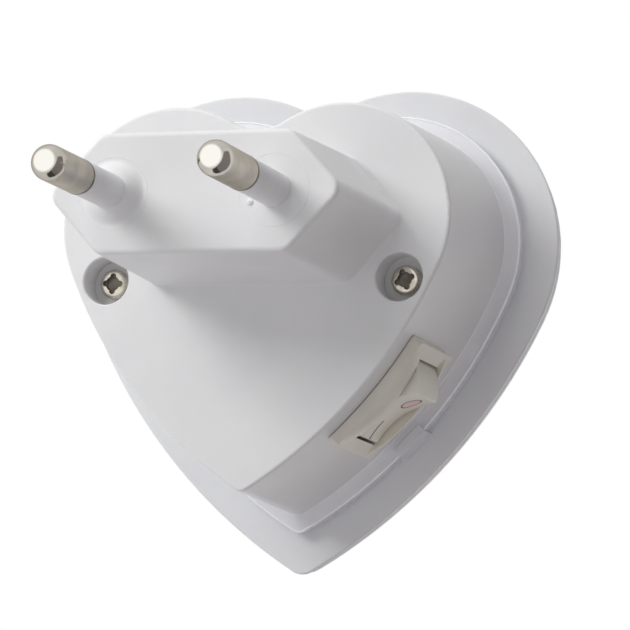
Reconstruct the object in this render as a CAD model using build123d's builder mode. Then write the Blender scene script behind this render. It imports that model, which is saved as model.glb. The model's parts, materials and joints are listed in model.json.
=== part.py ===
"""Heart-shaped plug-in night light: plug housing, flank rocker switch, clear collar, milky shade, insides.

Millimetres. The origin is the middle of the plug's face, between the pins. +Y runs into the wall along the
pins, the light shines towards -Y, and +Z is up, with the heart's lobes on top. A depth is a distance from the
plug's face towards the room, so it runs along -Y.
"""

import math
import os

from build123d import *

os.makedirs("parts", exist_ok=True)

# General fits
overrun = 1.0
fit = 0.05
running_gap = 0.3

# Plug pins, two-pole 4 mm pattern
pin_spacing = 19.0
pin_radius = 2.0
pin_length = 19.0
pin_tip_round = 1.7
sleeve_length = 10.0
sleeve_radius = 1.84
pin_core_radius = 1.4
pin_flange_radius = 2.8
pin_flange_thickness = 1.2
pin_tail_radius = 1.2
pin_tail_length = 4.8
base_ring_radius = 3.1
base_ring_height = 0.4
base_ring_round = 0.3

# Plug block: a hexagon that widens towards the housing
plug_half_width = 17.6
plug_half_height = 6.85
plug_flat_half = 11.2
plug_depth = 18.7
plug_width_draft = 0.75
plug_height_draft = 0.45
plug_flat_draft = 0.65
plug_corner = 1.8
plug_edge_round = 0.6
plug_root_round = 0.2
plug_face_thickness = 3.0
plug_wall = 2.0

# Clamp plate that holds the pins
clamp_gap = 0.8
clamp_thickness = 2.0
clamp_boss_radius = 2.4
clamp_screw_radius = 1.05
clamp_screw_length = 4.0
clamp_head_radius = 1.9
clamp_head_height = 1.3

# Housing heart: lobe circles, side arcs that meet at the point, notch between the lobes
lobe_half_spacing = 10.2
lobe_radius = 13.52
side_radius = 55.88
point_drop = 31.46
notch_radius = 6.12
heart_rise = 0.2
heart_tip = 1.2
flank_depth = 18.9
flank_draft = 0.69
housing_wall = 1.6
housing_edge_round = 0.4
cavity_tip = 0.8

# Housing screws in their sunk holes
screw_x = 17.93
screw_z = -6.61
recess_radius = 2.8
recess_depth = 3.4
recess_floor = 1.6
recess_wall = 1.2
recess_edge = 0.15
mouth_slope = 45
screw_head_radius = 2.0
screw_head_height = 1.4
screw_head_round = 0.5
screw_radius = 1.05
screw_length = 9.0
screw_end_round = 0.5
cross_length = 2.6
cross_width = 0.62
cross_depth = 0.8

# Clear collar between housing and shade
collar_overhang = 2.25
collar_slope = 0.75
collar_height = 2.4
collar_tip = 1.2
lip_depth = 2.5
lip_gap = 0.1
lip_wall = 1.2
tab_length = 4.2
tab_lift = 0.4
tab_overhang = 0.5
tab_reach = 1.1
tab_along = 3.4

# Shade heart: rear flange and dome
shade_half_spacing = 10.8
shade_lobe_radius = 19.5
shade_side_radius = 69.0
shade_point_drop = 39.1
shade_notch_radius = 6.0
shade_rise = 0.1
shade_tip = 2.3
flange_thickness = 1.5
flange_edge_round = 0.25
dome_height = 12.0
dome_wall = 1.5
dome_inset = 0.35
dome_angles = (0, 18, 36, 54, 70, 82, 88)
dome_centre_drop = 9.0
rib_gap = 0.25
rib_wall = 1.2
rib_height = 1.0

# Carrier plate with the screw posts
carrier_thickness = 1.5
carrier_tip = 2.0
post_radius = 2.1
post_bore_depth = 9.5
board_boss_radius = 2.0

# Circuit board and its screws
board_half_width = 15.0
board_bottom = -12.0
board_top = 8.0
board_thickness = 1.6
board_corner = 1.5
board_stand = 2.4
board_screw_x = 11.5
board_screw_z = -9.3
board_screw_radius = 0.95
board_screw_length = 4.6
board_head_radius = 1.8
board_head_height = 1.2
board_hole_radius = 1.1

# Components
leg_radius = 0.3
leg_hole_radius = 0.38
leg_tail = 1.2
leg_pitch = 1.27
led_radius = 2.5
led_rim_radius = 2.85
led_rim_height = 1.0
led_height = 8.6
led_round = 2.3
led_side_x = 12.0
led_side_z = -4.0
led_top_z = 4.5
film_length = 10.5
film_width = 5.0
film_height = 10.0
film_x = 8.2
film_z = 3.0
film_round = 0.5
film_pitch = 3.75
can_radius = 3.15
can_height = 9.0
can_x = -7.5
can_z = 3.0
can_round = 0.5
bridge_length = 6.5
bridge_width = 5.0
bridge_height = 2.6
bridge_x = 6.0
bridge_z = -5.0
bridge_round = 0.3
bridge_pitch = 2.0
resistor_radius = 1.1
resistor_length = 6.0
resistor_reach = 4.6
resistor_lift = 0.4
resistor_round = 0.6
resistor_bend = 0.7
resistor_x = -4.2
bleed_z = -3.2
surge_z = -7.0

# Rocker switch in the lower flank on the -X side
switch_angle = 219.45
switch_margin = 3.0
bezel_end_lip = 0.65
bezel_side_lip = 0.8
bezel_thickness = 1.0
bezel_corner = 0.5
bezel_gap = 0.12
window_gap = 0.1
cheek_arch = 1.4
cheek_shares = ((0, 1), (0.4, 0.92), (0.75, 0.66), (1, 0.15))
case_end_wall = 0.55
case_side_wall = 0.8
barb_reach = 0.5
barb_height = 1.6
barb_width = 4.0
pivot_depth = 1.8
trunnion_radius = 1.0
trunnion_engagement = 0.6
rocker_radius = 6.1
rocker_width = 6.9
rocker_gap = 0.35
rocker_side_gap = 0.25
rocker_tilt = 17.0
rocker_corner_angle = 47.0
rocker_skirt_angle = 12.0
rocker_dish = 1.0
rocker_wall = 1.1
rocker_round = 0.3
stem_half_width = 1.7
stem_reach = 4.4
plunger_radius = 0.85
plunger_reach = 5.6
plunger_length = 3.6
plunger_round = 0.7
spring_length = 2.6
spring_radius = 0.75
spring_wire = 0.25
seesaw_tilt = 7.0
seesaw_half_length = 5.0
seesaw_width = 3.0
seesaw_thickness = 0.6
seesaw_gap = 0.12
contact_along = 3.8
contact_radius = 1.0
contact_height = 0.5
contact_gap = 0.12
terminal_thickness = 0.8
terminal_width = 2.8
terminal_tail = 5.0
base_gap = 0.575
base_thickness = 1.6

# Hook-up leads
lead_radius = 0.65
lead_bend_share = 0.45
lead_straight = 4.0

wall = Plane.XZ
rear_depth = plug_depth
flank_end = rear_depth + flank_depth
flange_rear = flank_end + collar_height
flange_front = flange_rear + flange_thickness
board_front = flange_front - board_stand
board_rear = board_front - board_thickness
pin_places = {"left": pin_spacing / 2, "right": -pin_spacing / 2}
screw_places = ((screw_x, screw_z), (-screw_x, screw_z))
board_screw_places = ((board_screw_x, board_screw_z), (-board_screw_x, board_screw_z))
cavity_half = rocker_radius + rocker_gap
cavity_width = rocker_width + 2 * rocker_side_gap
case_length = 2 * (cavity_half + case_end_wall)
case_width = cavity_width + 2 * case_side_wall
bezel_length = case_length + 2 * bezel_end_lip
bezel_width = case_width + 2 * bezel_side_lip
switch_depth = rear_depth + switch_margin + bezel_width / 2

housing_heart = (lobe_half_spacing, lobe_radius, side_radius, point_drop, notch_radius, heart_rise)
shade_heart = (
    shade_half_spacing,
    shade_lobe_radius,
    shade_side_radius,
    shade_point_drop,
    shade_notch_radius,
    shade_rise,
)


def side_centre(sizes):
    """Centre of the +X side arc, which runs on smoothly from the lobe and ends at the point."""
    spacing, lobe, side, drop, _, rise = sizes
    centre = Vector(spacing, rise)
    across = Vector(0, rise - drop) - centre
    along = ((side - lobe) ** 2 - side**2 + across.length**2) / (2 * across.length)
    aside = math.sqrt((side - lobe) ** 2 - along**2)
    square = Vector(across.Y, -across.X).normalized()
    return centre + across.normalized() * along + square * aside


def arc_about(centre, start, end):
    """Arc of less than half a turn about a centre."""
    middle = (start - centre).normalized() + (end - centre).normalized()
    ThreePointArc(start, centre + middle.normalized() * (start - centre).length, end)


def heart(sizes, grow, tip, share=1.0):
    """Face of a heart grown by a margin, with a rounded point, shrunk to a share about its middle."""
    spacing, lobe, side, _, notch, rise = sizes
    middle = Vector(0, rise - dome_centre_drop)
    lobe_centre = Vector(spacing, rise)
    pivot = side_centre(sizes)
    notch_centre = Vector(0, rise + math.sqrt((lobe + notch) ** 2 - spacing**2))
    tip_centre = Vector(0, pivot.Y - math.sqrt((side + grow - tip) ** 2 - pivot.X**2))
    top = notch_centre - Vector(0, notch - grow)
    notch_end = lobe_centre + (notch_centre - lobe_centre).normalized() * (lobe + grow)
    lobe_end = lobe_centre + (lobe_centre - pivot).normalized() * (lobe + grow)
    side_end = pivot + (tip_centre - pivot).normalized() * (side + grow)
    bottom = tip_centre - Vector(0, tip)

    def shrunk(place):
        return middle + (place - middle) * share

    with BuildSketch() as outline:
        with BuildLine():
            arc_about(shrunk(notch_centre), shrunk(top), shrunk(notch_end))
            arc_about(shrunk(lobe_centre), shrunk(notch_end), shrunk(lobe_end))
            arc_about(shrunk(pivot), shrunk(lobe_end), shrunk(side_end))
            arc_about(shrunk(tip_centre), shrunk(side_end), shrunk(bottom))
            mirror(about=Plane.YZ)
        make_face()
    return outline.sketch


def hexagon(half_width, half_height, flat_half, corner):
    """Face of the plug's long hexagon with rounded corners."""
    with BuildSketch() as outline:
        Polygon(
            (half_width, 0),
            (flat_half, half_height),
            (-flat_half, half_height),
            (-half_width, 0),
            (-flat_half, -half_height),
            (flat_half, -half_height),
            align=None,
        )
        fillet(outline.vertices(), corner)
    return outline.sketch


def flank_grow(depth):
    """How far the drafted flank stands outside the rear face's heart at a depth."""
    return flank_draft * (depth - rear_depth) / flank_depth


def room(x, depth, z):
    """Point at a depth in front of the plug's face."""
    return Vector(x, -depth, z)


# Switch frame: along the flank from the O end to the I end, and outwards square to the drafted flank
switch_direction = math.radians(switch_angle)
draft_angle = math.atan2(flank_draft, flank_depth)
arc_centre = side_centre(housing_heart)
seat_reach = side_radius + flank_grow(switch_depth)
seat = room(
    -arc_centre.X + seat_reach * math.cos(switch_direction),
    switch_depth,
    arc_centre.Y + seat_reach * math.sin(switch_direction),
)
along = Vector(-math.sin(switch_direction), 0, math.cos(switch_direction))
outward = Vector(
    math.cos(switch_direction) * math.cos(draft_angle),
    math.sin(draft_angle),
    math.sin(switch_direction) * math.cos(draft_angle),
)
hinge = along.cross(outward)
switch_face = Plane(origin=seat, x_dir=along, z_dir=outward)
switch_side = Plane(origin=seat, x_dir=along, z_dir=hinge)
pivot_place = seat - outward * pivot_depth
rocker_along = along.rotate(Axis((0, 0, 0), hinge), -rocker_tilt)
rocker_up = hinge.cross(rocker_along)
rocker_side = Plane(origin=pivot_place, x_dir=rocker_along, z_dir=hinge)
rocker_face = Plane(origin=pivot_place, x_dir=rocker_along, z_dir=rocker_up)
seesaw_place = pivot_place - outward * (plunger_reach + seesaw_gap + seesaw_thickness)
seesaw_along = along.rotate(Axis((0, 0, 0), hinge), seesaw_tilt)
seesaw_face = Plane(origin=seesaw_place, x_dir=seesaw_along, z_dir=hinge.cross(seesaw_along))
seesaw_depth = pivot_depth + plunger_reach + seesaw_gap + seesaw_thickness
seesaw_drop = math.sin(math.radians(seesaw_tilt)) * (contact_along + contact_radius)
throw_top = -seesaw_depth - seesaw_drop - contact_height - contact_gap
case_depth = base_thickness + base_gap + contact_height - throw_top
terminal_end = -case_depth - terminal_tail
panel_sag = side_radius - math.sqrt(side_radius**2 - (case_length / 2) ** 2)
bezel_sag = side_radius - math.sqrt(side_radius**2 - (bezel_length / 2) ** 2)
barb_top = panel_sag + housing_wall + running_gap

# Rear housing: heart cup with the hollow plug block, sunk screw holes, pin holes and switch window
with BuildPart() as rear_housing:
    with BuildSketch(wall.offset(rear_depth)):
        add(heart(housing_heart, 0, heart_tip))
    with BuildSketch(wall.offset(flank_end)):
        add(heart(housing_heart, flank_draft, heart_tip + flank_draft))
    loft(ruled=True)
    fillet(rear_housing.faces().sort_by(Axis.Y)[-1].edges(), housing_edge_round)
    with BuildSketch(wall):
        add(hexagon(plug_half_width, plug_half_height, plug_flat_half, plug_corner))
    with BuildSketch(wall.offset(rear_depth)):
        add(
            hexagon(
                plug_half_width + plug_width_draft,
                plug_half_height + plug_height_draft,
                plug_flat_half + plug_flat_draft,
                plug_corner,
            )
        )
    loft(ruled=True)
    fillet(rear_housing.faces().sort_by(Axis.Y)[-1].edges(), plug_edge_round)
    heart_face = rear_housing.faces().filter_by(Axis.Y).sort_by(Axis.Y)[-2]
    fillet(heart_face.inner_wires()[0].edges(), plug_root_round)
    with BuildSketch(wall.offset(rear_depth + housing_wall)):
        add(heart(housing_heart, flank_grow(rear_depth + housing_wall) - housing_wall, cavity_tip))
    with BuildSketch(wall.offset(flank_end + overrun)):
        add(heart(housing_heart, flank_grow(flank_end + overrun) - housing_wall, cavity_tip))
    loft(ruled=True, mode=Mode.SUBTRACT)
    with BuildSketch(wall.offset(rear_depth + housing_edge_round)):
        with Locations(*screw_places):
            Circle(recess_radius + recess_wall)
        add(heart(housing_heart, -housing_wall / 2, heart_tip), mode=Mode.INTERSECT)
    extrude(amount=recess_depth + recess_floor - housing_edge_round)
    with BuildSketch(wall.offset(rear_depth - overrun)):
        with Locations(*screw_places):
            Circle(recess_radius)
    extrude(amount=recess_depth + overrun, mode=Mode.SUBTRACT)
    with BuildSketch(wall.offset(rear_depth)):
        with Locations(*screw_places):
            Circle(recess_radius + recess_edge)
    extrude(amount=recess_edge, taper=mouth_slope, mode=Mode.SUBTRACT)
    with BuildSketch(wall.offset(rear_depth)):
        with Locations(*screw_places):
            Circle(screw_radius + running_gap)
    extrude(amount=recess_depth + recess_floor + overrun, mode=Mode.SUBTRACT)
    with BuildSketch(wall.offset(plug_face_thickness)):
        add(
            hexagon(
                plug_half_width - plug_wall,
                plug_half_height - plug_wall,
                plug_flat_half - plug_wall / 2,
                plug_corner,
            )
        )
    extrude(amount=rear_depth + housing_wall + overrun - plug_face_thickness, mode=Mode.SUBTRACT)
    with BuildSketch(wall.offset(plug_face_thickness)):
        Circle(clamp_boss_radius)
    extrude(amount=pin_flange_thickness)
    with BuildSketch(wall):
        with Locations((pin_places["left"], 0)):
            Circle(base_ring_radius)
    extrude(amount=-base_ring_height)
    fillet(rear_housing.faces().sort_by(Axis.Y)[-1].edges(), base_ring_round)
    with BuildSketch(wall.offset(-base_ring_height - overrun)):
        with GridLocations(pin_spacing, 0, 2, 1):
            Circle(sleeve_radius + fit)
    extrude(amount=base_ring_height + plug_face_thickness + 2 * overrun, mode=Mode.SUBTRACT)
    with BuildSketch(wall.offset(plug_face_thickness + pin_flange_thickness + overrun)):
        Circle(clamp_screw_radius + fit)
    extrude(amount=-clamp_screw_length + clamp_thickness - overrun - fit, mode=Mode.SUBTRACT)
    with BuildSketch(switch_face):
        Rectangle(case_length + 2 * window_gap, case_width + 2 * window_gap)
    extrude(amount=case_depth / 2, both=True, mode=Mode.SUBTRACT)
rear_housing.part.label = "rear_housing"
export_step(rear_housing.part, "parts/rear_housing.step")

# Plug pins: sleeve core, contact end with a rounded tip, inner flange and solder tail
for side, place in pin_places.items():
    with BuildPart() as plug_pin:
        with BuildSketch(wall.offset(-sleeve_length)):
            with Locations((place, 0)):
                Circle(pin_radius)
        extrude(amount=sleeve_length - pin_length)
        fillet(plug_pin.faces().sort_by(Axis.Y)[-1].edges(), pin_tip_round)
        with BuildSketch(wall.offset(-sleeve_length)):
            with Locations((place, 0)):
                Circle(pin_core_radius)
        extrude(amount=sleeve_length + plug_face_thickness)
        with BuildSketch(wall.offset(plug_face_thickness)):
            with Locations((place, 0)):
                Circle(pin_flange_radius)
        extrude(amount=pin_flange_thickness)
        with BuildSketch(wall.offset(plug_face_thickness + pin_flange_thickness)):
            with Locations((place, 0)):
                Circle(pin_tail_radius)
        extrude(amount=pin_tail_length)
    plug_pin.part.label = f"plug_pin_{side}"
    export_step(plug_pin.part, f"parts/plug_pin_{side}.step")

    with BuildPart() as pin_sleeve:
        with BuildSketch(wall.offset(plug_face_thickness)):
            with Locations((place, 0)):
                Circle(sleeve_radius)
                Circle(pin_core_radius + fit / 2, mode=Mode.SUBTRACT)
        extrude(amount=-plug_face_thickness - sleeve_length)
    pin_sleeve.part.label = f"pin_sleeve_{side}"
    export_step(pin_sleeve.part, f"parts/pin_sleeve_{side}.step")

# Clamp plate behind the pins' flanges, and its screw
clamp_rear = plug_face_thickness + pin_flange_thickness
with BuildPart() as pin_clamp:
    with BuildSketch(wall.offset(clamp_rear)):
        add(
            hexagon(
                plug_half_width - plug_wall - clamp_gap,
                plug_half_height - plug_wall - clamp_gap,
                plug_flat_half - plug_wall / 2 - clamp_gap,
                plug_corner,
            )
        )
        with GridLocations(pin_spacing, 0, 2, 1):
            Circle(pin_tail_radius + fit, mode=Mode.SUBTRACT)
        Circle(clamp_screw_radius + fit, mode=Mode.SUBTRACT)
    extrude(amount=clamp_thickness)
pin_clamp.part.label = "pin_clamp"
export_step(pin_clamp.part, "parts/pin_clamp.step")


def screw(plane, places, head_radius, head_height, head_round, shank_radius, length):
    """Cross-recess screws driven along a plane's normal, heads seated on the plane, as one group."""
    driven = Axis(plane.origin, plane.z_dir)
    cross_share = head_radius / screw_head_radius
    with BuildPart() as screws:
        with BuildSketch(plane):
            with Locations(*places):
                Circle(head_radius)
        extrude(amount=-head_height)
        fillet(screws.faces().filter_by(driven).group_by(driven)[0].edges(), head_round)
        with BuildSketch(plane):
            with Locations(*places):
                Circle(shank_radius)
        extrude(amount=length)
        fillet(screws.faces().filter_by(driven).group_by(driven)[-1].edges(), screw_end_round)
        with BuildSketch(plane.offset(-head_height - overrun)):
            with Locations(*places):
                Rectangle(cross_length * cross_share, cross_width * cross_share)
                Rectangle(cross_width * cross_share, cross_length * cross_share)
        extrude(amount=overrun + cross_depth * cross_share, mode=Mode.SUBTRACT)
    return screws.part


# Screws of the housing, the circuit board and the pin clamp
housing_screws = screw(
    wall.offset(rear_depth + recess_depth),
    screw_places,
    screw_head_radius,
    screw_head_height,
    screw_head_round,
    screw_radius,
    screw_length,
)
housing_screws.label = "housing_screws"
export_step(housing_screws, "parts/housing_screws.step")

board_screws = screw(
    wall.offset(board_rear),
    board_screw_places,
    board_head_radius,
    board_head_height,
    screw_head_round,
    board_screw_radius,
    board_screw_length,
)
board_screws.label = "board_screws"
export_step(board_screws, "parts/board_screws.step")

clamp_seat = Plane(origin=room(0, clamp_rear + clamp_thickness, 0), x_dir=(-1, 0, 0), z_dir=(0, 1, 0))
clamp_screw = screw(
    clamp_seat,
    ((0, 0),),
    clamp_head_radius,
    clamp_head_height,
    screw_head_round,
    clamp_screw_radius,
    clamp_screw_length,
)
clamp_screw.label = "clamp_screw"
export_step(clamp_screw, "parts/clamp_screw.step")

# Clear collar: sloped ledge round the housing's front edge, lip inside the housing, snap tab by the switch
lip_grow = flank_grow(flank_end - lip_depth) - housing_wall - lip_gap
opening_grow = lip_grow - lip_wall
tab_angle = switch_angle + math.degrees(tab_along / side_radius)
tab_radius = side_radius + collar_overhang + tab_overhang - tab_reach / 2
tab_x = -arc_centre.X + tab_radius * math.cos(math.radians(tab_angle))
tab_z = arc_centre.Y + tab_radius * math.sin(math.radians(tab_angle))
with BuildPart() as clear_collar:
    with BuildSketch(wall.offset(flank_end)):
        add(heart(housing_heart, flank_draft, heart_tip + flank_draft))
    with BuildSketch(wall.offset(flank_end + collar_slope)):
        add(heart(housing_heart, collar_overhang, collar_tip))
    loft(ruled=True)
    with BuildSketch(wall.offset(flank_end + collar_slope)):
        add(heart(housing_heart, collar_overhang, collar_tip))
    extrude(amount=collar_height - collar_slope)
    with BuildSketch(wall.offset(flank_end - lip_depth)):
        add(heart(housing_heart, lip_grow, cavity_tip))
    extrude(amount=lip_depth)
    with BuildSketch(wall.offset(flank_end - tab_lift)):
        with Locations(Location((tab_x, tab_z), tab_angle)):
            Rectangle(tab_reach, tab_length)
    extrude(amount=collar_height + tab_lift)
    with BuildSketch(wall.offset(flank_end - lip_depth - overrun)):
        add(heart(housing_heart, opening_grow, cavity_tip))
        with Locations(*screw_places):
            Circle(post_radius + running_gap)
    extrude(amount=lip_depth + collar_height + 2 * overrun, mode=Mode.SUBTRACT)
clear_collar.part.label = "clear_collar"
export_step(clear_collar.part, "parts/clear_collar.step")

# Shade rear: heart-shaped flange that narrows towards the dome, with a rib that seats it
rib_grow = -dome_inset - dome_wall - rib_gap
with BuildPart() as shade_rear:
    with BuildSketch(wall.offset(flange_rear)):
        add(heart(shade_heart, 0, shade_tip))
    with BuildSketch(wall.offset(flange_front)):
        add(heart(shade_heart, -dome_inset, shade_tip))
    loft(ruled=True)
    fillet(shade_rear.faces().sort_by(Axis.Y)[-1].edges(), flange_edge_round)
    with BuildSketch(wall.offset(flange_front)):
        add(heart(shade_heart, rib_grow, cavity_tip))
        add(heart(shade_heart, rib_grow - rib_wall, cavity_tip), mode=Mode.SUBTRACT)
    extrude(amount=rib_height)
    with BuildSketch(wall.offset(flange_rear - overrun)):
        add(heart(housing_heart, opening_grow, cavity_tip))
        with Locations(*screw_places):
            Circle(post_radius + running_gap)
    extrude(amount=flange_thickness + 2 * overrun, mode=Mode.SUBTRACT)
shade_rear.part.label = "shade_rear"
export_step(shade_rear.part, "parts/shade_rear.step")

# Shade dome: puffed heart, hollow, open at the back, a little inside the flange's edge
with BuildPart() as shade_dome:
    for angle in dome_angles:
        turn = math.radians(angle)
        with BuildSketch(wall.offset(flange_front + dome_height * math.sin(turn))):
            add(heart(shade_heart, -dome_inset, shade_tip, math.cos(turn)))
    loft()
    for angle in dome_angles:
        turn = math.radians(angle)
        with BuildSketch(wall.offset(flange_front + (dome_height - dome_wall) * math.sin(turn))):
            add(heart(shade_heart, -dome_inset - dome_wall, cavity_tip, math.cos(turn)))
    loft(mode=Mode.SUBTRACT)
shade_dome.part.label = "shade_dome"
export_step(shade_dome.part, "parts/shade_dome.step")

# Carrier plate: reflector behind the dome, with the posts that the housing screws pull on
led_places = ((0, led_top_z), (led_side_x, led_side_z), (-led_side_x, led_side_z))
post_top = rear_depth + recess_depth + recess_floor
with BuildPart() as carrier_plate:
    with BuildSketch(wall.offset(flange_front)):
        add(heart(shade_heart, rib_grow - rib_wall - running_gap, carrier_tip))
        with Locations(*led_places):
            Circle(led_radius + running_gap, mode=Mode.SUBTRACT)
    extrude(amount=carrier_thickness)
    with BuildSketch(wall.offset(post_top)):
        with Locations(*screw_places):
            Circle(post_radius)
    extrude(amount=flange_front - post_top)
    with BuildSketch(wall.offset(board_front)):
        with Locations(*board_screw_places):
            Circle(board_boss_radius)
    extrude(amount=board_stand)
    with BuildSketch(wall.offset(post_top - overrun)):
        with Locations(*screw_places):
            Circle(screw_radius + fit)
    extrude(amount=post_bore_depth + overrun, mode=Mode.SUBTRACT)
    with BuildSketch(wall.offset(board_front - overrun)):
        with Locations(*board_screw_places):
            Circle(board_screw_radius + fit)
    extrude(amount=board_screw_length - board_thickness + overrun + running_gap, mode=Mode.SUBTRACT)
carrier_plate.part.label = "carrier_plate"
export_step(carrier_plate.part, "parts/carrier_plate.step")

# Circuit board with a hole for every leg and screw
led_legs = [(x, z + step) for x, z in led_places for step in (-leg_pitch, leg_pitch)]
film_legs = [(film_x - film_pitch, film_z), (film_x + film_pitch, film_z)]
can_legs = [(can_x - leg_pitch, can_z), (can_x + leg_pitch, can_z)]
bridge_legs = [
    (bridge_x + across, bridge_z + up)
    for across in (-bridge_pitch, bridge_pitch)
    for up in (-bridge_pitch, bridge_pitch)
]
resistor_places = {"bleed_resistor": bleed_z, "surge_resistor": surge_z}
resistor_legs = [
    (resistor_x + reach, z) for z in resistor_places.values() for reach in (-resistor_reach, resistor_reach)
]
with BuildPart() as circuit_board:
    with BuildSketch(wall.offset(board_rear)):
        with Locations((0, (board_top + board_bottom) / 2)):
            RectangleRounded(2 * board_half_width, board_top - board_bottom, board_corner)
        with Locations(*led_legs, *film_legs, *can_legs, *bridge_legs, *resistor_legs):
            Circle(leg_hole_radius, mode=Mode.SUBTRACT)
        with Locations(*board_screw_places):
            Circle(board_hole_radius, mode=Mode.SUBTRACT)
    extrude(amount=board_thickness)
circuit_board.part.label = "circuit_board"
export_step(circuit_board.part, "parts/circuit_board.step")

# Light-emitting diodes through the carrier plate
for number, (x, z) in enumerate(led_places, 1):
    with BuildPart() as led:
        with BuildSketch(wall.offset(board_front)):
            with Locations((x, z)):
                Circle(led_radius)
        extrude(amount=led_height)
        fillet(led.faces().sort_by(Axis.Y)[0].edges(), led_round)
        with BuildSketch(wall.offset(board_front)):
            with Locations((x, z)):
                Circle(led_rim_radius)
        extrude(amount=led_rim_height)
        with BuildSketch(wall.offset(board_front)):
            with Locations((x, z - leg_pitch), (x, z + leg_pitch)):
                Circle(leg_radius)
        extrude(amount=-board_thickness - leg_tail)
    led.part.label = f"led_{number}"
    export_step(led.part, f"parts/led_{number}.step")

# Film capacitor that drops the mains voltage
with BuildPart() as dropper_capacitor:
    with BuildSketch(wall.offset(board_rear)):
        with Locations((film_x, film_z)):
            Rectangle(film_length, film_width)
    extrude(amount=-film_height)
    fillet(dropper_capacitor.edges().filter_by(Axis.Y), film_round)
    fillet(dropper_capacitor.faces().sort_by(Axis.Y)[-1].edges(), film_round)
    with BuildSketch(wall.offset(board_rear)):
        with Locations(*film_legs):
            Circle(leg_radius)
    extrude(amount=board_thickness + leg_tail)
dropper_capacitor.part.label = "dropper_capacitor"
export_step(dropper_capacitor.part, "parts/dropper_capacitor.step")

# Electrolytic capacitor that smooths the current
with BuildPart() as smoothing_capacitor:
    with BuildSketch(wall.offset(board_rear)):
        with Locations((can_x, can_z)):
            Circle(can_radius)
    extrude(amount=-can_height)
    fillet(smoothing_capacitor.edges().filter_by(GeomType.CIRCLE), can_round)
    with BuildSketch(wall.offset(board_rear)):
        with Locations(*can_legs):
            Circle(leg_radius)
    extrude(amount=board_thickness + leg_tail)
smoothing_capacitor.part.label = "smoothing_capacitor"
export_step(smoothing_capacitor.part, "parts/smoothing_capacitor.step")

# Bridge rectifier
with BuildPart() as bridge_rectifier:
    with BuildSketch(wall.offset(board_rear)):
        with Locations((bridge_x, bridge_z)):
            Rectangle(bridge_length, bridge_width)
    extrude(amount=-bridge_height)
    fillet(bridge_rectifier.faces().sort_by(Axis.Y)[-1].edges(), bridge_round)
    with BuildSketch(wall.offset(board_rear)):
        with Locations(*bridge_legs):
            Circle(leg_radius)
    extrude(amount=board_thickness + leg_tail)
bridge_rectifier.part.label = "bridge_rectifier"
export_step(bridge_rectifier.part, "parts/bridge_rectifier.step")

# Resistors that bleed the film capacitor and limit the surge, on bent legs
for name, z in resistor_places.items():
    axis_depth = board_rear - resistor_radius - resistor_lift
    leg_end = board_front + leg_tail
    with BuildPart() as resistor:
        with BuildSketch(Plane.YZ.offset(resistor_x)):
            with Locations((-axis_depth, z)):
                Circle(resistor_radius)
        extrude(amount=resistor_length / 2, both=True)
        fillet(resistor.edges().filter_by(GeomType.CIRCLE), resistor_round)
        with BuildLine() as legs:
            FilletPolyline(
                room(resistor_x - resistor_reach, leg_end, z),
                room(resistor_x - resistor_reach, axis_depth, z),
                room(resistor_x + resistor_reach, axis_depth, z),
                room(resistor_x + resistor_reach, leg_end, z),
                radius=resistor_bend,
            )
        with BuildSketch(Plane(origin=legs.line @ 0, z_dir=legs.line % 0)):
            Circle(leg_radius)
        sweep(path=legs.line)
    resistor.part.label = name
    export_step(resistor.part, f"parts/{name}.step")

# Switch case: bezel shaped to the flank, with arched cheeks, box body with a round-ended well, trunnion holes
# and snap barbs
arch_end = bezel_length / 2 - bezel_corner
with BuildPart() as switch_case:
    with BuildSketch(switch_face.offset(-bezel_sag)):
        RectangleRounded(bezel_length, bezel_width, bezel_corner)
    extrude(amount=bezel_sag + bezel_thickness)
    with BuildSketch(wall.offset(rear_depth)):
        add(heart(housing_heart, bezel_gap, heart_tip))
    with BuildSketch(wall.offset(flank_end)):
        add(heart(housing_heart, flank_draft + bezel_gap, heart_tip + flank_draft))
    loft(ruled=True, mode=Mode.SUBTRACT)
    for way in (-1, 1):
        for across_share, rise_share in cheek_shares:
            cheek_place = cavity_width / 2 + across_share * (bezel_width - cavity_width) / 2
            with BuildSketch(switch_side.offset(way * cheek_place)):
                with BuildLine():
                    ThreePointArc(
                        (-arch_end, bezel_thickness),
                        (0, bezel_thickness + rise_share * cheek_arch),
                        (arch_end, bezel_thickness),
                    )
                    Line((arch_end, bezel_thickness), (-arch_end, bezel_thickness))
                make_face()
        loft()
    with BuildSketch(switch_face.offset(bezel_thickness)):
        Rectangle(case_length, case_width)
    extrude(amount=-bezel_thickness - case_depth)
    with BuildSketch(switch_side):
        with Locations((0, -pivot_depth)):
            Circle(cavity_half)
    extrude(amount=cavity_width / 2, both=True, mode=Mode.SUBTRACT)
    with BuildSketch(switch_face.offset(-pivot_depth)):
        Rectangle(2 * cavity_half, cavity_width)
    extrude(amount=pivot_depth - case_depth - overrun, mode=Mode.SUBTRACT)
    with BuildSketch(switch_side):
        with Locations((0, -pivot_depth)):
            Circle(trunnion_radius + fit)
    extrude(amount=cavity_width / 2 + trunnion_engagement + fit, both=True, mode=Mode.SUBTRACT)
    with BuildSketch(switch_side):
        for way in (-1, 1):
            Polygon(
                (way * case_length / 2, -barb_top),
                (way * (case_length / 2 + barb_reach), -barb_top),
                (way * case_length / 2, -barb_top - barb_height),
                align=None,
            )
    extrude(amount=barb_width / 2, both=True)
switch_case.part.label = "switch_case"
export_step(switch_case.part, "parts/switch_case.step")

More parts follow.
